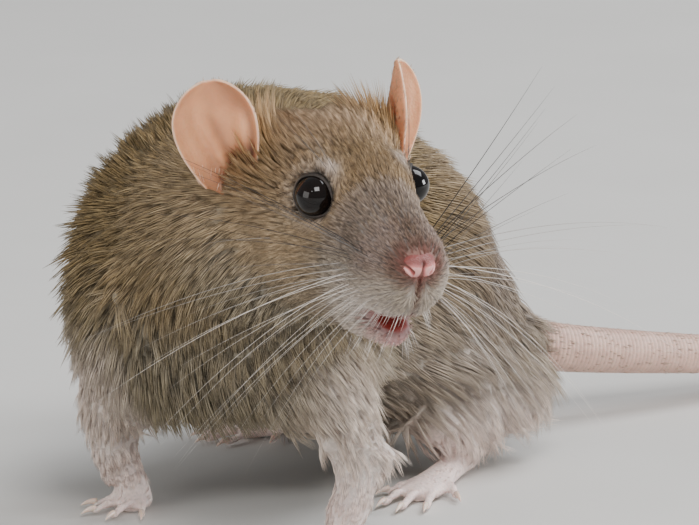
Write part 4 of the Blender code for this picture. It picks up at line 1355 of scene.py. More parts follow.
# ---------------------------------------------------------------- the coat
@dataclass(frozen=True)
class TuftForm:
    """A small lock of hairs that grows one unit along +Z and lies down away from +X.

    Args:
        name: the form's name.
        hairs: number of hairs in the lock.
        rings: shares of the length at which a hair has a ring, from root towards tip.
        spread: half width of the lock at its root, in hair widths.
        thick: thickness of a hair over its length.
        bend: how far a hair sinks back towards the skin over its length.
        seed: seed of its small differences.
    """

    name: str
    hairs: int
    rings: tuple[float, ...]
    spread: float
    thick: float
    bend: float
    seed: int

    @property
    def triangles(self) -> int:
        """Triangles in one lock."""
        return self.hairs * (1 + 6 * (len(self.rings) - 1) + 3)

    def build(self) -> bpy.types.Object:
        """Make the lock.

        Returns:
            A helper object with the lock's mesh.
        """
        random = np.random.default_rng(self.seed)
        points, faces, rows = [], [], []
        for number in range(self.hairs):
            aside = lerp(-self.spread, self.spread, (number + 0.5) / self.hairs) + random.uniform(-0.3, 0.3)
            length, lean, gather, drift, kind = (random.uniform(*limits) for limits in (
                (0.72, 1.0), (-0.05, 0.07), (0.15, 0.6), (-0.7, 0.7), (0.0, 1.0)))
            start = len(points)
            for share in (*self.rings, 1.0):
                x = lean * share - self.bend * share * share * length
                y = aside * (1.0 - gather * share) + drift * share
                width = (1.0 - share) ** 0.5 * lerp(0.45, 1.0, min(share / 0.35, 1.0))
                for out, side in ((0.6, 0.0), (-0.4, 0.5), (-0.4, -0.5)) if share < 1.0 else ((0.0, 0.0),):
                    points.append((x + out * self.thick * width, y + side * width, share * length))
                    rows.append((share, kind, (number + 0.5 + 0.8 * side) / self.hairs - 0.5, share - 0.5))
            faces.append((start, start + 1, start + 2))
            tip = len(points) - 1
            for low in range(start, tip - 3, 3):
                faces.extend((low + i, low + i + 3, low + j + 3, low + j) for i, j in ((0, 1), (1, 2), (2, 0)))
            faces.extend((tip - 3 + i, tip, tip - 3 + j) for i, j in ((0, 1), (1, 2), (2, 0)))
        obj = mesh_object(self.name, points, faces)
        rows = np.array(rows)
        put(obj.data, along=rows[:, 0], hue=rows[:, 1])
        places = rows[:, 2:].astype(np.float32)[corner_array(obj.data)]
        obj.data.uv_layers.new(name="lock").data.foreach_set("uv", places.ravel())
        return obj


@dataclass(frozen=True)
class Growth:
    """How one patch of the coat grows.

    Args:
        budget: triangles of the whole patch.
        breadth: width of a single hair at its root.
        lift: how steeply the hair leaves the skin.
        stray: how far single locks stray from the lie.
        length: factor on the plan's hair length.
        seed: seed of the patch's chance.
    """

    budget: int
    breadth: float
    lift: float
    stray: float
    length: float
    seed: int


class CoatGrower:
    """The Geometry Nodes that set locks of hair on a surface along its lie."""

    INPUTS = (("Lock A", "NodeSocketObject"), ("Lock B", "NodeSocketObject"), ("Lock C", "NodeSocketObject"),
              ("Locks per square metre", "NodeSocketFloat"), ("Hair width", "NodeSocketFloat"),
              ("Length factor", "NodeSocketFloat"), ("Lift", "NodeSocketFloat"), ("Stray", "NodeSocketFloat"),
              ("Seed", "NodeSocketInt"), ("Finish", "NodeSocketMaterial"))
    PATCH = 0.003
    FLOOR = 0.00005
    HELPERS = ("lock", "Unwrap", "lie", "span", "cover", "head_share", "foot_share", "rise", "fold")

    def __init__(self) -> None:
        """Make the tree once for all patches."""
        self.tree = bpy.data.node_groups.new("grow_coat", "GeometryNodeTree")
        face = self.tree.interface
        face.new_socket("Skin", in_out="INPUT", socket_type="NodeSocketGeometry")
        self.keys = {name: face.new_socket(name, in_out="INPUT", socket_type=kind).identifier
                     for name, kind in self.INPUTS}
        face.new_socket("Coat", in_out="OUTPUT", socket_type="NodeSocketGeometry")
        self.fill(Graph(self.tree))

    def named(self, graph: Graph, name: str, kind: str = "FLOAT") -> Socket:
        """The value of a named attribute."""
        return graph.add("GeometryNodeInputNamedAttribute", {"Name": name}, data_type=kind).outputs["Attribute"]

    def store(self, graph: Graph, name: str, geometry: Socket, value: Socket, kind: str, domain: str) -> Socket:
        """The geometry with a value stored under a name."""
        values = {"Geometry": geometry, "Name": name, "Value": value}
        return graph.add("GeometryNodeStoreNamedAttribute", values, data_type=kind, domain=domain).outputs[0]

    def chance(self, graph: Graph, seed: int, low: object, high: object, kind: str = "FLOAT") -> Socket:
        """Draw a random value for each lock.

        Args:
            graph: the tree it is added to.
            seed: seed of the draw.
            low: its lowest value.
            high: its highest value.
            kind: type of the value.

        Returns:
            The socket that gives the value.
        """
        number = ("FLOAT_VECTOR", "FLOAT", "INT").index(kind)
        values = {2 * number: low, 2 * number + 1: high, "Seed": seed}
        return graph.add("FunctionNodeRandomValue", values, data_type=kind).outputs[number]

    def fill(self, graph: Graph) -> None:
        """Build the tree: points on the skin, a turned and sized lock on each, and its map.

        Args:
            graph: the tree as a graph.
        """
        entry = graph.add("NodeGroupInput").outputs
        density = graph.math("MULTIPLY", self.named(graph, "cover"), entry["Locks per square metre"])
        scatter = graph.add("GeometryNodeDistributePointsOnFaces", {
            "Mesh": entry["Skin"], "Density": density, "Seed": entry["Seed"]}, distribute_method="RANDOM").outputs
        normal = scatter["Normal"]
        tone = self.store(graph, "tone", scatter["Points"], self.chance(graph, 3, 0.0, 1.0), "FLOAT", "POINT")
        stray = self.chance(graph, 5, (-1.0, -1.0, -1.0), (1.0, 1.0, 1.0), "FLOAT_VECTOR")
        lean = graph.math("MULTIPLY", entry["Lift"], self.chance(graph, 11, 0.7, 1.3))
        way = graph.vector("ADD", self.named(graph, "lie", "FLOAT_VECTOR"), graph.vector("SCALE", normal, lean))
        way = graph.vector("ADD", way, graph.vector("SCALE", stray, entry["Stray"]))
        turn = graph.add("FunctionNodeAlignRotationToVector", {"Vector": way}, axis="Z").outputs[0]
        turn = graph.add("FunctionNodeAlignRotationToVector", {"Rotation": turn, "Vector": normal},
                         axis="X", pivot_axis="Z").outputs[0]
        span = graph.math("MULTIPLY", self.named(graph, "span"), self.chance(graph, 7, 0.7, 1.2))
        span = graph.math("MULTIPLY", span, entry["Length factor"])
        width = graph.math("MULTIPLY", entry["Hair width"], self.chance(graph, 9, 0.75, 1.25))
        size = graph.add("ShaderNodeCombineXYZ", {0: span, 1: width, 2: span}).outputs[0]
        locks = graph.add("GeometryNodeJoinGeometry")
        for key in ("Lock A", "Lock B", "Lock C"):
            lock = graph.add("GeometryNodeObjectInfo", {"Object": entry[key], "As Instance": True})
            graph.feed(locks, {0: lock.outputs["Geometry"]})
        grown = graph.add("GeometryNodeInstanceOnPoints", {
            "Points": tone, "Instance": locks.outputs[0], "Pick Instance": True,
            "Instance Index": self.chance(graph, 13, 0, 2, "INT"), "Rotation": turn, "Scale": size}).outputs[0]
        grown = graph.add("GeometryNodeRealizeInstances", {"Geometry": grown}).outputs[0]
        place = graph.vector("ADD", self.named(graph, "Unwrap", "FLOAT_VECTOR"),
                             graph.vector("SCALE", self.named(graph, "lock", "FLOAT_VECTOR"), self.PATCH))
        mapped = self.store(graph, "OFBake", grown, place, "FLOAT2", "CORNER")
        dressed = graph.add("GeometryNodeSetMaterial", {"Geometry": mapped, "Material": entry["Finish"]})
        graph.add("NodeGroupOutput", {0: dressed.outputs[0]})

    def grow(self, host: bpy.types.Object, name: str, growth: Growth, form: TuftForm,
             finish: bpy.types.Material) -> bpy.types.Object:
        """Grow a patch of coat on a host surface, which is discarded.

        Args:
            host: the surface, with lie, span, cover, pelt and an Unwrap map.
            name: the new piece's name.
            growth: how the patch grows.
            form: the form of its locks.
            finish: the coat's material.

        Returns:
            The coat as a plain mesh.
        """
        points, faces = vertex_array(host.data), face_array(host.data)
        corner = points[faces]
        areas = 0.5 * np.linalg.norm(np.cross(corner[:, 1] - corner[:, 0], corner[:, 2] - corner[:, 0]), axis=1)
        cover = read(host.data.attributes["cover"].data, "value")
        ground = float(np.sum(areas * cover[faces].mean(axis=1)))
        locks = [replace(form, name=f"{name}_lock_{i}", seed=form.seed + i).build() for i in range(3)]
        modifier = host.modifiers.new("coat", "NODES")
        modifier.node_group = self.tree
        values = (*locks, growth.budget / form.triangles / max(ground, 1e-9), growth.breadth * MM, growth.length,
                  growth.lift, growth.stray, growth.seed, finish)
        for (key, _), value in zip(self.INPUTS, values):
            modifier[self.keys[key]] = value
        bake_modifiers(host)
        for lock in locks:
            discard(lock)
        grown = host.data
        bpy.data.objects.remove(host)
        grown.name = name
        points = vertex_array(grown)
        points[:, 2] = np.maximum(points[:, 2], self.FLOOR)
        put_vertices(grown, points)
        for helper in self.HELPERS:
            if helper in grown.attributes:
                grown.attributes.remove(grown.attributes[helper])
        LOG.info("%s: %.1f square centimetres", name, ground * 1e4)
        return link(name, grown)


class Patch(Enum):
    """The pieces that the coat is grown in."""

    MUZZLE = "coat_muzzle"
    FACE = "coat_face"
    CROWN = "coat_crown"
    JAW = "coat_jaw"
    NECK = "coat_neck"
    SHOULDERS = "coat_shoulders"
    BACK = "coat_back"
    FLANKS = "coat_flanks"
    RUMP = "coat_rump"
    LEGS = "coat_legs"
    FEET = "coat_feet"


@dataclass
class Coat:
    """The fur of the body, grown on the skin in patches.

    Args:
        growths: how each patch grows.
        fine_form: the locks of the head and the feet.
        full_form: the locks of the body.
    """

    growths: dict[Patch, Growth] = field(default_factory=lambda: {
        Patch.MUZZLE: Growth(166000, 0.085, 0.22, 0.08, 1.0, 11),
        Patch.FACE: Growth(182000, 0.11, 0.26, 0.10, 1.0, 1),
        Patch.CROWN: Growth(182000, 0.13, 0.30, 0.12, 1.0, 2),
        Patch.JAW: Growth(115000, 0.14, 0.28, 0.12, 1.0, 3),
        Patch.NECK: Growth(134000, 0.22, 0.34, 0.12, 0.95, 4),
        Patch.SHOULDERS: Growth(150000, 0.27, 0.34, 0.12, 0.92, 5),
        Patch.BACK: Growth(104000, 0.31, 0.28, 0.10, 0.90, 6),
        Patch.FLANKS: Growth(110000, 0.30, 0.26, 0.10, 0.86, 7),
        Patch.RUMP: Growth(125000, 0.28, 0.25, 0.09, 0.84, 8),
        Patch.LEGS: Growth(148000, 0.17, 0.24, 0.12, 1.0, 9),
        Patch.FEET: Growth(20000, 0.09, 0.20, 0.12, 1.0, 10),
    })
    fine_form: TuftForm = TuftForm("fine", 5, (0.0, 0.55), 2.0, 0.02, 0.16, 21)
    full_form: TuftForm = TuftForm("full", 6, (0.0, 0.5), 2.6, 0.018, 0.22, 31)

    def labels(self, mesh: bpy.types.Mesh) -> Array:
        """Part the skin's triangles among the patches.

        Args:
            mesh: the skin's mesh.

        Returns:
            For each triangle, the number of its patch.
        """
        faces = face_array(mesh)
        middle = STANCE.own(vertex_array(mesh))[faces].mean(axis=1)
        head, foot, rise = (read(mesh.attributes[key].data, "value")[faces].mean(axis=1)
                            for key in ("head_share", "foot_share", "rise"))
        ahead, _, height = STANCE.from_head(middle).T
        x, y, z = middle.T
        heading = middle @ np.array((0.62, -0.70, 0.25))
        patches = list(Patch)
        label = np.full(len(faces), patches.index(Patch.FLANKS))
        for patch, chosen in (
                (Patch.BACK, rise > 0.45), (Patch.RUMP, y > 48.0), (Patch.SHOULDERS, y < 14.0), (Patch.LEGS, z < 24.0),
                (Patch.FLANKS, (z < 24.0) & (np.abs(x + 10.0) < 14.0) & (y > 8.0)),
                (Patch.NECK, (heading > 14.0) & (z > 26.0)), (Patch.CROWN, head > 0.5),
                (Patch.FACE, (head > 0.5) & (ahead > -25.0)), (Patch.MUZZLE, (head > 0.5) & (ahead > -14.0)),
                (Patch.JAW, (head > 0.5) & (ahead <= -25.0) & (height < -3.0)), (Patch.FEET, foot > 0.5)):
            label[chosen] = patches.index(patch)
        return label

    def host(self, mesh: bpy.types.Mesh, chosen: Array) -> bpy.types.Object:
        """Make a helper surface of some triangles, with what the coat needs to know.

        Args:
            mesh: the skin's mesh.
            chosen: numbers of the triangles.

        Returns:
            The helper surface.
        """
        used, renumbered = np.unique(face_array(mesh)[chosen], return_inverse=True)
        surface = bpy.data.meshes.new("host")
        surface.from_pydata(vertex_array(mesh)[used].tolist(), [], renumbered.reshape(-1, 3).tolist())
        surface.shade_smooth()
        for name, width in (("pelt", 4), ("lie", 3), ("span", 1), ("cover", 1)):
            put(surface, **{name: read(mesh.attributes[name].data, WIDTHS[width][1], width)[used]})
        places = read(mesh.uv_layers["Unwrap"].data, "uv", 2).reshape(-1, 3, 2)
        put(surface, Unwrap=places[chosen].reshape(-1, 2))
        return link("host", surface)

    def build(self, skin: bpy.types.Object, grower: CoatGrower, finish: bpy.types.Material) -> None:
        """Grow every patch of the coat on the skin.

        Args:
            skin: the skin.
            grower: the coat's Geometry Nodes.
            finish: the coat's material.
        """
        label = self.labels(skin.data)
        for number, patch in enumerate(Patch):
            fine = patch in (Patch.MUZZLE, Patch.FACE, Patch.CROWN, Patch.JAW, Patch.FEET)
            piece = grower.grow(self.host(skin.data, np.nonzero(label == number)[0]), patch.value,
                                self.growths[patch], self.fine_form if fine else self.full_form, finish)
            settle(piece, finish, "coat_pale" if patch in (Patch.LEGS, Patch.FEET) else "coat")


# ---------------------------------------------------------------- the head's own pieces
@dataclass
class Eye:
    """One eyeball with a slightly raised cornea.

    Args:
        side: left or right.
        radius: its radius.
        dome: how far the cornea stands out.
    """

    side: str
    radius: float = 3.42
    dome: float = 0.12

    def build(self) -> None:
        """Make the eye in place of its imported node."""
        low, high = (np.array(corner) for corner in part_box("eye_" + self.side))
        points, faces = ball(5)
        off_axis = np.arccos(np.clip(points @ STANCE.gaze(SIDES[self.side]), -1.0, 1.0))
        reach = self.radius + self.dome * bump(off_axis, 0.6)
        places = STANCE.metres(STANCE.own(0.5 * (low + high)) + reach[:, None] * points)
        settle(mesh_object("eyeball_" + self.side, places, faces), GlossFinish().material(), "eye", "eye_" + self.side)


@dataclass
class Ear:
    """One outer ear: a cupped leaf with a rolled rim, ridges and a fine down.

    Args:
        side: left or right.
        base: place of its base in the head's directions.
        length: its length from base to tip.
        width: its greatest width.
        lean: the way from its base to its tip, in the head's directions.
        facing: how far its opening turns out from straight ahead.
        curl: half the angle through which it curls at its base.
        widest: share of its length at which it is widest.
        base_share: width of its base over its greatest width.
        wall: its thickness.
        columns: faces across it.
        rows: faces from base to tip.
        ridges: for each ridge its height, place, tilt, reach, and the shares of the length over
            which it fades out and in.
        shades: the same for the stripes of painted shade between the ridges and of painted highlight along them.
    """

    side: str
    base: Triple = (-42.6, 13.6, 1.6)
    length: float = 18.8
    width: float = 15.0
    lean: Triple = (-2.5, 4.6, 18.2)
    facing: float = 42.0
    curl: float = 1.15
    widest: float = 0.62
    base_share: float = 0.55
    wall: float = 0.5
    columns: int = 56
    rows: int = 52
    ridges: tuple[tuple, ...] = (
        (1.0, 0.52, 0.0, 0.15, (0.5, 0.75), (0.05, 0.22)), (0.75, -0.22, 0.5, 0.12, (0.55, 0.8), (0.1, 0.3)),
        (0.30, -0.60, 0.3, 0.10, (0.6, 0.9), (0.0, 0.2)))
    shades: tuple[tuple, ...] = (
        (-0.20, 0.52, 0.0, 0.15, (0.5, 0.75)), (-0.20, -0.22, 0.5, 0.10, (0.55, 0.8)),
        (0.26, -0.05, 0.5, 0.12, (0.55, 0.8)), (0.16, 0.78, 0.0, 0.12, (0.6, 0.9)))

    def ridge(self, near: Array, share: Array, height: float, place: float, tilt: float, reach: float,
              fade: tuple[float, float], rise: tuple[float, float] = (-2.0, -1.0)) -> Array:
        """Find the height of a ridge that runs up the ear.

        Args:
            near: places across the ear, from -1 at its outer rim to 1.
            share: places from its base at 0 to its tip at 1.
            height: the ridge's height.
            place: where it runs across the ear.
            tilt: how far it drifts across on its way up.
            reach: its half width.
            fade: the shares of the length over which it fades out.
            rise: the shares over which it rises.

        Returns:
            The height at each place.
        """
        across = bump(near - place + tilt * (share - 0.4), reach)
        return height * across * ramp(share, *rise) * (1.0 - ramp(share, *fade))

    def outline(self, share: Array) -> Array:
        """Find how wide the ear is.

        Args:
            share: shares of the length from base to tip.

        Returns:
            Half the width there, from 0 to 1.
        """
        grow = np.clip(share / self.widest, 0.0, 1.0)
        fall = np.clip((share - self.widest) / (1.0 - self.widest), 0.0, 1.0)
        lower = self.base_share + (1.0 - self.base_share) * np.sin(grow * pi / 2.0) + 0.9 * np.minimum(share, 0.0)
        return np.where(share < self.widest, lower, np.sqrt(np.maximum(1.0 - fall * fall, 0.0)))

    def surface(self, across: Array, share: Array) -> Array:
        """Find places on the ear's middle surface.

        Args:
            across: how far across it they are, from -1 to 1.
            share: how far up it they are, from 0 to 1.

        Returns:
            The places in the rat's own frame.
        """
        sign, facing = SIDES[self.side], radians(self.facing)
        way = unit(self.lean[0] * STANCE.ahead + sign * self.lean[1] * STANCE.left + self.lean[2] * STANCE.up)
        opening = cos(facing) * STANCE.ahead + sign * sin(facing) * STANCE.left
        opening = unit(opening - (opening @ way) * way)
        out = sign * np.cross(way, opening)
        base = STANCE.head((self.base[0], sign * self.base[1], self.base[2]))
        curl = self.curl * (1.0 - 0.45 * np.maximum(share, -0.1))
        reach = 0.5 * self.width * self.outline(share) / np.sin(curl)
        inward, near = reach * (1.0 - np.cos(across * curl)), -across
        for ridge in self.ridges:
            inward = inward + self.ridge(near, share, *ridge)
        inward = inward - 1.1 * bump(near - 0.25, 0.30) * bump(share - 0.14, 0.15)
        inward = inward + 0.9 * bump(near - 0.85, 0.22) * bump(share - 0.16, 0.14)
        inward = inward + 0.10 * np.sin(9.0 * share + 3.0 * across) * np.abs(across) ** 2
        return (base + (share * self.length)[..., None] * way + (reach * np.sin(across * curl))[..., None] * out
                + inward[..., None] * opening)

    def fold(self, near: Array, share: Array) -> Array:
        """Find how deep the ear's painted shade is.

        Args:
            near: places across the ear.
            share: places from its base to its tip.

        Returns:
            The depth at each place, from 0.3 to 1.
        """
        # Painted shade in the ear canal, deeper towards the base and browner high up towards the front edge.
        fold = 0.34 + 0.75 * bump(near - 0.30, 0.26) * bump(share - 0.14, 0.16)
        fold = fold + 0.30 * (1.0 - ramp(share, 0.0, 0.35)) + 0.22 * bump(near - 0.45, 0.4) * ramp(share, 0.6, 0.85)
        # Painted shade between the ridges and painted highlight along them.
        for shade in self.shades:
            fold = fold + self.ridge(near, share, *shade)
        # More painted shade low in the canal near the front edge.
        fold = fold + 0.55 * bump(near - 0.58, 0.26) * bump(share - 0.30, 0.16)
        # A deeper red low near the middle, and painted shade deeper towards the front edge.
        fold = fold + 0.20 * bump(near + 0.15, 0.40) * bump(share - 0.14, 0.18) + 0.12 * ramp(near, 0.2, 0.9)
        return np.clip(fold, 0.3, 1.0)

    def build(self, grower: CoatGrower, finish: bpy.types.Material) -> None:
        """Make the ear and its down.

        Args:
            grower: the coat's Geometry Nodes.
            finish: the coat's material.
        """
        across = np.linspace(-1.0, 1.0, self.columns + 1) * SIDES[self.side]
        across, share = np.meshgrid(across, 1.0 - (1.0 - np.linspace(0.0, 1.0, self.rows + 1)) ** 1.5)
        start = lerp(-0.2, 0.03, ramp(across, 0.1, 1.0))
        share = start + (0.995 - start) * share
        places = self.surface(across, share)
        normal = unit(np.cross(np.gradient(places, axis=1), np.gradient(places, axis=0)))
        brink = np.vstack((places[:, 0], places[:, -1], places[-1]))
        gaps = np.linalg.norm(places.reshape(-1, 1, 3) - brink[None], axis=2).min(axis=1).reshape(share.shape)
        edge = np.clip(1.0 - gaps / 6.0, 0.0, 1.0)
        thick = self.wall * (0.5 + 0.08 * ramp(edge, 0.84, 0.94) - 0.36 * ramp(edge, 0.94, 1.0))[..., None] * normal
        points = np.vstack(((places + thick).reshape(-1, 3), (places - thick).reshape(-1, 3)))
        faces = self.faces()
        obj = mesh_object("pinna_" + self.side, STANCE.metres(points), faces)
        # The rim takes the finish's pale edge colour, painted rim light along the thin edge; the back face a middle
        # depth.
        bare = 1.0 - ramp(edge, 0.955, 0.985)
        fold = self.fold(-across, share) * bare
        put(obj.data, fold=np.concatenate((fold.ravel(), (0.45 * bare).ravel())))
        settle(obj, EAR_SKIN.material(), "ear_skin", "ear_" + self.side)
        self.grow_down(grower, finish, points, faces, across.ravel(), share.ravel(), edge.ravel())

    def faces(self) -> list[tuple[int, int, int, int]]:
        """List the faces of the front, the back and the rim between them.

        Returns:
            The vertex numbers of each face.
        """
        wide, high = self.columns + 1, self.rows + 1
        layer, faces = wide * high, []
        for low in range(0, self.rows * wide, wide):
            for a in range(low, low + self.columns):
                b, c, d = a + 1, a + wide + 1, a + wide
                faces.extend(((a, b, c, d), (layer + d, layer + c, layer + b, layer + a)))
        border = [*range(wide), *(row * wide + self.columns for row in range(1, high)),
                  *(self.rows * wide + i for i in range(self.columns - 1, -1, -1)),
                  *(row * wide for row in range(self.rows - 1, 0, -1))]
        faces.extend((b, a, layer + a, layer + b) for a, b in zip(border, border[1:] + border[:1]))
        return faces

    def grow_down(self, grower: CoatGrower, finish: bpy.types.Material, points: Array, faces: list,
                  across: Array, share: Array, edge: Array) -> None:
        """Grow the fine down on both faces of the ear and the longer hair at its base.

        Args:
            grower: the coat's Geometry Nodes.
            finish: the coat's material.
            points: the ear's points, first of the front and then of the back.
            faces: its faces.
            across: how far across the ear each point of the front is.
            share: how far up it is.
            edge: how near the rim it is.
        """
        host = mesh_object("ear_host", STANCE.metres(points), grid_triangles(faces))
        ends = points.reshape(2, -1, 3)
        way = unit(ends[:, -1] - ends[:, 0]).mean(axis=0)
        lie = np.tile(way, (len(points), 1)) + 0.5 * unit(points - points.mean(axis=0))
        low, count = 1.0 - ramp(share, 0.02, 0.3), len(share)
        front = 0.06 * ramp(edge, 0.86, 0.98) + 0.5 * low
        colour = np.vstack((np.tile(linear(236, 206, 184), (count, 1)), np.tile(linear(178, 150, 126), (count, 1))))
        flat = np.column_stack((0.25 + 0.2 * across, 0.1 + 0.8 * share))
        flat = np.vstack((flat, flat + np.array((0.5, 0.0))))
        put(host.data, pelt=np.column_stack((colour, np.full(len(points), 0.05))),
            lie=unit(along_skin(lie, normal_array(host.data))),
            span=np.concatenate((0.7 + 2.2 * low, 1.1 + 2.2 * low)) * MM,
            cover=np.concatenate((front, np.full(count, 0.9))), Unwrap=flat[corner_array(host.data)])
        form = TuftForm("down", 3, (0.0, 0.55), 1.6, 0.03, 0.15, 41)
        down = grower.grow(host, "down_" + self.side, Growth(24000, 0.05, 0.12, 0.16, 1.0, 51), form, finish)
        settle(down, finish, "ear_skin")


@dataclass
class Nose:
    """The bare nose pad: two swellings, a middle groove and a slit nostril on each side.

    Args:
        middle: its middle in the head's directions.
        reach: its reach ahead, aside and up.
    """

    middle: Triple = (-1.75, 0.0, -0.5)
    reach: Triple = (2.2, 3.0, 2.45)

    def build(self) -> None:
        """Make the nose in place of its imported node."""
        points, faces = ball(6)
        ahead, side, height = points[:, 0], np.abs(points[:, 1]), points[:, 2]
        front = ramp(ahead, -0.2, 0.3)
        groove = bump(side, 0.10 + 0.06 * ramp(-height, 0.0, 0.8)) * ramp(-height, -0.75, 0.3) * front
        along = np.clip((side - 0.48) / 0.46, 0.0, 1.0)
        line = -0.36 + 0.50 * along
        slit = bump(height - line, 0.095 + 0.06 * (1.0 - along)) * ramp(side, 0.42, 0.52)
        slit = slit * (1.0 - ramp(side, 0.93, 0.99)) * front
        lobe = bump(side - 0.44, 0.26) * bump(height + 0.02, 0.34) * front
        wing = bump(side - 0.62, 0.24) * bump(height - line + 0.26, 0.12) * front
        swell = 1.0 + 0.15 * lobe + 0.10 * wing - 0.20 * groove - 0.36 * slit - 0.10 * ramp(height, 0.45, 1.0)
        swell = swell * (1.0 + 0.012 * np.sin(38 * points[:, 1]) * np.sin(41 * height) * front)
        own = points * swell[:, None] * np.array(self.reach) + np.array(self.middle)
        obj = mesh_object("nose_pad", STANCE.metres(STANCE.head(own)), faces)
        # Painted shade in the groove, the nostril slits and the underside, darker towards the top, and a painted
        # highlight on the swellings.
        fold = 0.9 * groove + 1.2 * slit + 0.25 * ramp(-height, 0.2, 0.9) + 0.85 * ramp(height, -0.15, 0.35)
        put(obj.data, fold=np.clip(fold - 0.3 * lobe, 0.0, 1.0))
        settle(obj, NOSE_SKIN.material(), "nose_skin", "nose")


@dataclass
class Whiskers:
    """The whiskers of one side's muzzle, brow and chin, as thin tapered hairs.

    Args:
        side: left or right.
        sweep: how far the whiskers point ahead.
        top: how far the highest ones point up.
        bottom: how far the lowest ones point up.
        stout: factor on the thickness of the long ones.
        rows: rows of whiskers on the pad.
        columns: whiskers in a row.
        longest: length of the longest one.
        thickness: thickness of the longest one at its root.
        seed: seed of their small differences.
        sides: points round a hair.
        steps: rings along a hair.
        pile: the hairs made so far.
        shades: the shade of each of their points.
    """

    side: str
    sweep: float
    top: float
    bottom: float
    stout: float
    rows: int = 6
    columns: int = 6
    longest: float = 53.0
    thickness: float = 0.15
    seed: int = 4
    sides: int = 5
    steps: int = 14
    pile: Pile = field(init=False, default_factory=Pile)
    shades: list = field(init=False, default_factory=list)

    def build(self) -> None:
        """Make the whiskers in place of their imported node."""
        random = np.random.default_rng(self.seed)
        for row in range(self.rows):
            for column in range(self.columns):
                self.add_long(random, row / (self.rows - 1), 1.0 - column / (self.columns - 1))
        self.add_small(random)
        obj = self.pile.piece("whisker_hairs_" + self.side)
        put(obj.data, shade=np.array(self.shades))
        settle(obj, HairFinish().material(), "whisker", "whiskers_" + self.side)

    def add_long(self, random: np.random.Generator, low: float, back: float) -> None:
        """Add one long whisker of the pad.

        Args:
            random: the source of its small differences.
            low: its place in the pad, from 0 in the highest row to 1 in the lowest.
            back: its place in the row, from 0 at the front to 1 at the back.
        """
        root = np.array((-3.6 - 8.6 * back, 5.6 + 1.5 * back, 0.2 - 8.2 * low - 0.6 * (1.0 - back)))
        root += random.uniform(-0.25, 0.25, 3)
        length = self.longest * (0.30 + 0.70 * back ** 0.8) * (1.0 - 0.25 * abs(low - 0.45)) * random.uniform(0.8, 1.03)
        climb = lerp(self.bottom, self.top, (1.0 - low) ** 1.3) + random.uniform(-0.16, 0.16)
        lean = self.sweep - 0.30 * back * abs(self.sweep) + 0.28 * (1.0 - back) + random.uniform(-0.12, 0.12)
        curl = np.array((-0.12 * length, -0.03 * length, (-0.10 - 0.34 * low) * length * random.uniform(0.7, 1.3)))
        width = self.thickness * (0.45 + 0.55 * back) * (1.3 - 0.75 * low) * self.stout
        dark = 1.0 - ramp(np.array(low), 0.25, 0.55)
        shade = float(np.clip(0.93 - 0.85 * dark + random.uniform(-0.12, 0.12), 0.0, 1.0))
        self.hair(root, (lean, 1.0, climb), length, curl, width, shade)

    def add_small(self, random: np.random.Generator) -> None:
        """Add the hairs above the eye, on the cheek, lips and chin.

        Args:
            random: the source of their small differences.
        """
        for root, way, length, shade in (
                ((-19.5, 6.8, 10.2), (-0.75, 0.35, 0.9), 17.0, 0.08), ((-21.5, 7.6, 10.6), (-0.9, 0.5, 0.8), 14.0, 0.1),
                ((-30.0, 13.0, -4.0), (-0.8, 0.7, -0.2), 12.0, 0.3)):
            self.hair(np.array(root), way, length, np.array((-0.1, 0.0, -0.12)) * length, 0.11, shade)
        for _ in range(18):
            turn = random.uniform(0.05, 1.0)
            root = np.array((lerp(-6.5, -13.0, turn), lerp(0.6, 5.6, turn), -16.6 + random.uniform(-0.5, 1.2)))
            way = (random.uniform(-0.2, 0.4), 0.5 * turn + random.uniform(-0.1, 0.3), -1.0)
            length = random.uniform(1.8, 4.6)
            self.hair(root, way, length, np.array((-0.12, 0.0, -0.05)) * length, 0.06, 0.98)
        for _ in range(34):
            turn = random.uniform(0.0, 1.0)
            root = np.array((lerp(-1.6, -12.5, turn), lerp(1.2, 6.2, turn ** 0.7), random.uniform(-10.2, -8.2)))
            length = random.uniform(2.0, 4.6)
            way = (0.25 - 0.5 * turn, 0.35 + 0.5 * turn, -1.0)
            self.hair(root, way, length, np.array((-0.15, 0.0, -0.05)) * length, 0.07, 0.9)

    def hair(self, root: Array, way: Triple, length: float, curl: Array, thickness: float, shade: float) -> None:
        """Add one tapered hair that hangs in a curve.

        Args:
            root: its root in the head's directions, out to the side.
            way: the way it leaves the skin.
            length: its length.
            curl: how far its tip hangs away.
            thickness: its thickness at the root.
            shade: its shade, from 0 for dark to 1 for white.
        """
        share = np.linspace(0.0, 1.0, self.steps)[:, None]
        path = lerp(root, root + length * unit(np.array(way)), share) + curl * share ** 2
        path[:, 1] *= SIDES[self.side]
        radii = 0.5 * thickness * (1.0 - 0.88 * share[:, 0] ** 1.3)
        self.pile.tube(rings_along(STANCE.head(path), radii, self.sides))
        self.shades.extend([shade] * (self.sides * self.steps))


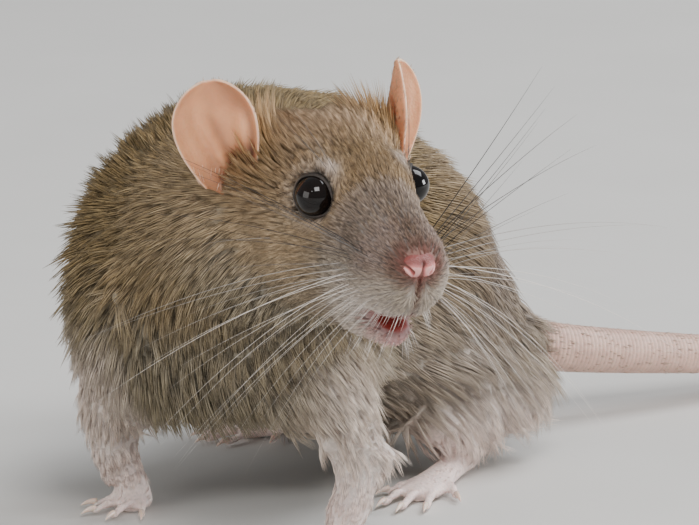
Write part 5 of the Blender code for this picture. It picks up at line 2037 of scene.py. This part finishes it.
# ---------------------------------------------------------------- tail and claws
@dataclass
class Tail:
    """The tail with its rings of scales and short bristles.

    Args:
        course: points along its middle, in the rat's own frame.
        root: radius at its root.
        tip: radius at its tip.
        ring: length of one ring of scales.
        scale: height of a ring's edge.
        sides: points round the tail.
        cells: scales in a ring.
        stride: how many steps of the tail one step of the bristles' surface takes.
        bristle_sides: points round that surface.
    """

    course: tuple[Triple, ...] = (
        (-9.0, 82.0, 17.0), (-5.8, 90.0, 15.6), (0.0, 101.0, 13.2), (7.5, 118.0, 10.2), (14.6, 137.0, 7.2),
        (19.0, 157.0, 4.6), (18.0, 178.0, 3.0), (11.0, 198.0, 2.1), (1.5, 215.0, 1.5), (-4.0, 230.0, 1.0))
    root: float = 5.0
    tip: float = 0.75
    ring: float = 0.82
    scale: float = 0.055
    sides: int = 48
    cells: int = 16
    stride: int = 6
    bristle_sides: int = 16

    def build(self, grower: CoatGrower, finish: bpy.types.Material) -> None:
        """Make the tail in place of its packed lengths, and its bristles.

        Args:
            grower: the coat's Geometry Nodes.
            finish: the coat's material.
        """
        path = smooth_path(self.course, 60)
        travel = np.concatenate(([0.0], np.cumsum(np.linalg.norm(np.diff(path, axis=0), axis=1))))
        along = np.linspace(0.0, travel[-1], int(travel[-1] / self.ring * 4))
        path = np.column_stack([np.interp(along, travel, path[:, i]) for i in range(3)])
        share = along / travel[-1]
        radius = self.tip + (self.root - self.tip) * (1.0 - share) ** 1.1
        path[:, 2] = np.maximum(path[:, 2], radius + 0.02)
        radius = radius * (1.0 - ramp(share, 0.992, 1.0) * 0.75)
        edge = self.scale * (0.25 + 0.75 * radius / self.root)
        rise = edge * (((along / self.ring) % 1.0) ** 1.6 - 0.5) * ramp(share, 0.0, 0.04)
        angles = np.linspace(0.0, 2.0 * pi, self.sides, endpoint=False)
        rings, folds = [], []
        for centre, way, reach, lift, place in zip(path, unit(np.gradient(path, axis=0)), radius, rise, along):
            side = unit(np.cross(way, UP))
            offset = (int(place / self.ring) % 2) * pi / self.cells
            groove = bump(np.abs(np.sin(0.5 * self.cells * (angles + offset))), 0.25)
            spread = reach + lift - 0.35 * edge.max() * groove
            rings.append(centre + (spread * np.cos(angles))[:, None] * side
                         + (spread * np.sin(angles))[:, None] * np.cross(side, way))
            # Painted shade where each ring sinks under the raised edge before it and in the scale grooves; darker on
            # the upper side.
            folds.append(np.clip(0.25 + 0.7 * (-lift / self.scale) + 0.15 * groove + 0.18 * np.sin(angles), 0.0, 1.0))
        pile = Pile()
        pile.tube(rings)
        obj = pile.piece("tail_scales")
        put(obj.data, fold=np.concatenate(folds))
        settle(obj, TAIL_SKIN.material(), "tail_skin", "tail_1", "tail_2", "tail_3", "tail_4")
        self.grow_bristles(grower, finish, path[::self.stride], radius[::self.stride], share[::self.stride])

    def grow_bristles(self, grower: CoatGrower, finish: bpy.types.Material, path: Array, radius: Array,
                      share: Array) -> None:
        """Grow the short bristles that lie back along the tail, longer and denser at its root.

        Args:
            grower: the coat's Geometry Nodes.
            finish: the coat's material.
            path: places along the tail's middle.
            radius: the tail's radius at each.
            share: how far along the tail each is.
        """
        pile, sides = Pile(), self.bristle_sides
        pile.tube(rings_along(path, radius, sides))
        host = mesh_object("tail_host", STANCE.metres(np.array(pile.points)), grid_triangles(pile.faces))
        places = np.repeat(share, sides)
        root = 1.0 - ramp(places, 0.03, 0.12)
        colour = lerp(linear(184, 164, 150), linear(*HAZE), root[:, None])
        flat = np.column_stack((0.05 + 0.9 * places, 0.05 + 0.8 * np.tile(np.arange(sides) / float(sides), len(path))))
        put(host.data, pelt=np.column_stack((colour, np.full(len(places), 0.5))),
            lie=np.repeat(unit(np.gradient(path, axis=0)), sides, axis=0), span=(1.5 + 4.5 * root) * MM,
            cover=0.5 + 5.5 * root, Unwrap=flat[corner_array(host.data)])
        form = TuftForm("bristle", 2, (0.0, 0.5), 1.2, 0.03, 0.12, 61)
        bristles = grower.grow(host, "tail_bristles", Growth(44000, 0.115, 0.2, 0.12, 1.0, 71), form, finish)
        settle(bristles, finish, "tail_skin")


@dataclass
class Claws:
    """The claws of all four feet, each a small curved cone.

    Args:
        length: length of a claw.
        thickness: thickness at its root.
    """

    length: float = 2.9
    thickness: float = 1.05

    def build(self) -> None:
        """Make the claws as one joined piece."""
        pile = Pile()
        share = np.linspace(0.0, 1.0, 8)[:, None]
        radii = 0.5 * self.thickness * (1.0 - share[:, 0]) ** 0.7 + 0.05
        for foot in FEET.values():
            for root, way, reach in foot.toe_ways():
                tip = root + reach * way + 1.25 * UP
                path = tip + (share - 0.28) * self.length * way + (0.1 + 0.5 * share - 1.15 * share ** 2) * UP
                pile.tube(rings_along(path, radii, 8, 1.1))
        obj = pile.piece("claws")
        put(obj.data, fold=np.full(len(pile.points), 0.2))
        settle(obj, CLAW_HORN.material(), "foot_skin")


# ---------------------------------------------------------------- the studio
@dataclass
class Studio:
    """The floor, the lights and the camera.

    Args:
        azimuth: the camera's turn round the rat.
        elevation: its height above the horizon.
        distance: its distance in metres.
        view_width: width of what it sees at that distance.
        aim_right: how far left of the middle between the eyes it aims.
        aim_down: how far below it.
        reach: how far the floor reaches, in metres.
        lamps: for each lamp its name, its place in metres, size, power and colour.
    """

    azimuth: float = 37.0
    elevation: float = 13.0
    distance: float = 1.3
    view_width: float = 116.5
    aim_right: float = 2.083
    aim_down: float = 12.0
    reach: float = 4.0
    lamps: tuple[tuple[str, Triple, float, float, Triple], ...] = (
        ("key", (0.70, -0.60, 1.1), 0.55, 13.0, (1.0, 0.98, 0.96)),
        ("fill", (-0.35, -1.3, 0.3), 0.9, 9.5, (1.0, 0.98, 0.94)),
        ("back", (0.35, 0.75, 1.1), 0.7, 15.0, (0.96, 0.98, 1.0)),
        ("rim", (0.85, 0.70, 0.30), 0.35, 9.5, (0.98, 0.99, 1.0)),
        ("catch", (0.35, -1.0, 0.8), 0.07, 0.5, (1.0, 1.0, 1.0)))

    def build(self) -> None:
        """Set up the floor, the camera and the lights."""
        self.floor()
        self.camera()
        self.lights()

    def floor(self) -> None:
        """Lay a plain pale floor."""
        corners = [(x * self.reach, y * self.reach, 0.0) for x, y in ((-1, -1), (1, -1), (1, 1), (-1, 1))]
        floor = mesh_object("floor", corners, [(0, 1, 2, 3)], smooth=False)
        material, graph, shader = paint("floor")
        noise = graph.noise(graph.place(), 30.0)
        colour = graph.steps(noise, (0.3, (0.60, 0.59, 0.57)), (0.7, (0.62, 0.61, 0.59)))
        graph.feed(shader, {"Base Color": colour, "Roughness": 0.9})
        floor.data.materials.append(material)

    def camera(self) -> None:
        """Aim the camera below the middle between the eyes."""
        azimuth, elevation = radians(self.azimuth), radians(self.elevation)
        back = np.array((sin(azimuth) * cos(elevation), -cos(azimuth) * cos(elevation), sin(elevation)))
        right = np.array((cos(azimuth), sin(azimuth), 0.0))
        upward = np.cross(back, right)
        corners = [np.array(corner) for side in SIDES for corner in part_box("eye_" + side)]
        aim = sum(corners) / len(corners) - self.aim_right * MM * right - self.aim_down * MM * upward
        data = bpy.data.cameras.new("camera")
        data.sensor_width = 36.0
        data.lens = data.sensor_width * self.distance / (self.view_width * MM)
        data.clip_end = 20.0
        camera = link("camera", data)
        turn = Matrix((right, upward, back)).transposed().to_4x4()
        camera.matrix_world = Matrix.Translation(Vector(aim + self.distance * back)) @ turn
        bpy.context.scene.camera = camera

    def lights(self) -> None:
        """Hang soft light above and in front, with a weaker one behind."""
        for name, place, size, power, colour in self.lamps:
            data = bpy.data.lights.new(name, "AREA")
            data.size, data.energy, data.color = size, power, colour
            turn = (Vector((0.0, -0.05, 0.05)) - Vector(place)).to_track_quat("-Z", "Y").to_matrix().to_4x4()
            link(name, data).matrix_world = Matrix.Translation(Vector(place)) @ turn
        world = bpy.data.worlds.new("studio")
        world.use_nodes = True
        inputs = world.node_tree.nodes["Background"].inputs
        inputs["Color"].default_value = (0.80, 0.81, 0.83, 1.0)
        inputs["Strength"].default_value = 0.38
        bpy.context.scene.world = world


def main() -> None:
    """Build the rat piece by piece, then the studio."""
    logging.basicConfig(level=logging.INFO, format="%(message)s")
    grower, finish = CoatGrower(), CoatFinish().material()
    Coat().build(Skin().build(), grower, finish)
    for side in SIDES:
        Eye(side).build()
    Ear("right").build(grower, finish)
    Ear("left", lean=(-2.5, 3.4, 18.2), facing=52.0, curl=1.4).build(grower, finish)
    Nose().build()
    Whiskers("left", 0.34, 1.5, -0.75, 1.0).build()
    Whiskers("right", -0.80, 0.55, -1.15, 0.85).build()
    Tail().build(grower, finish)
    Claws().build()
    Studio().build()


if __name__ == "__main__":
    main()
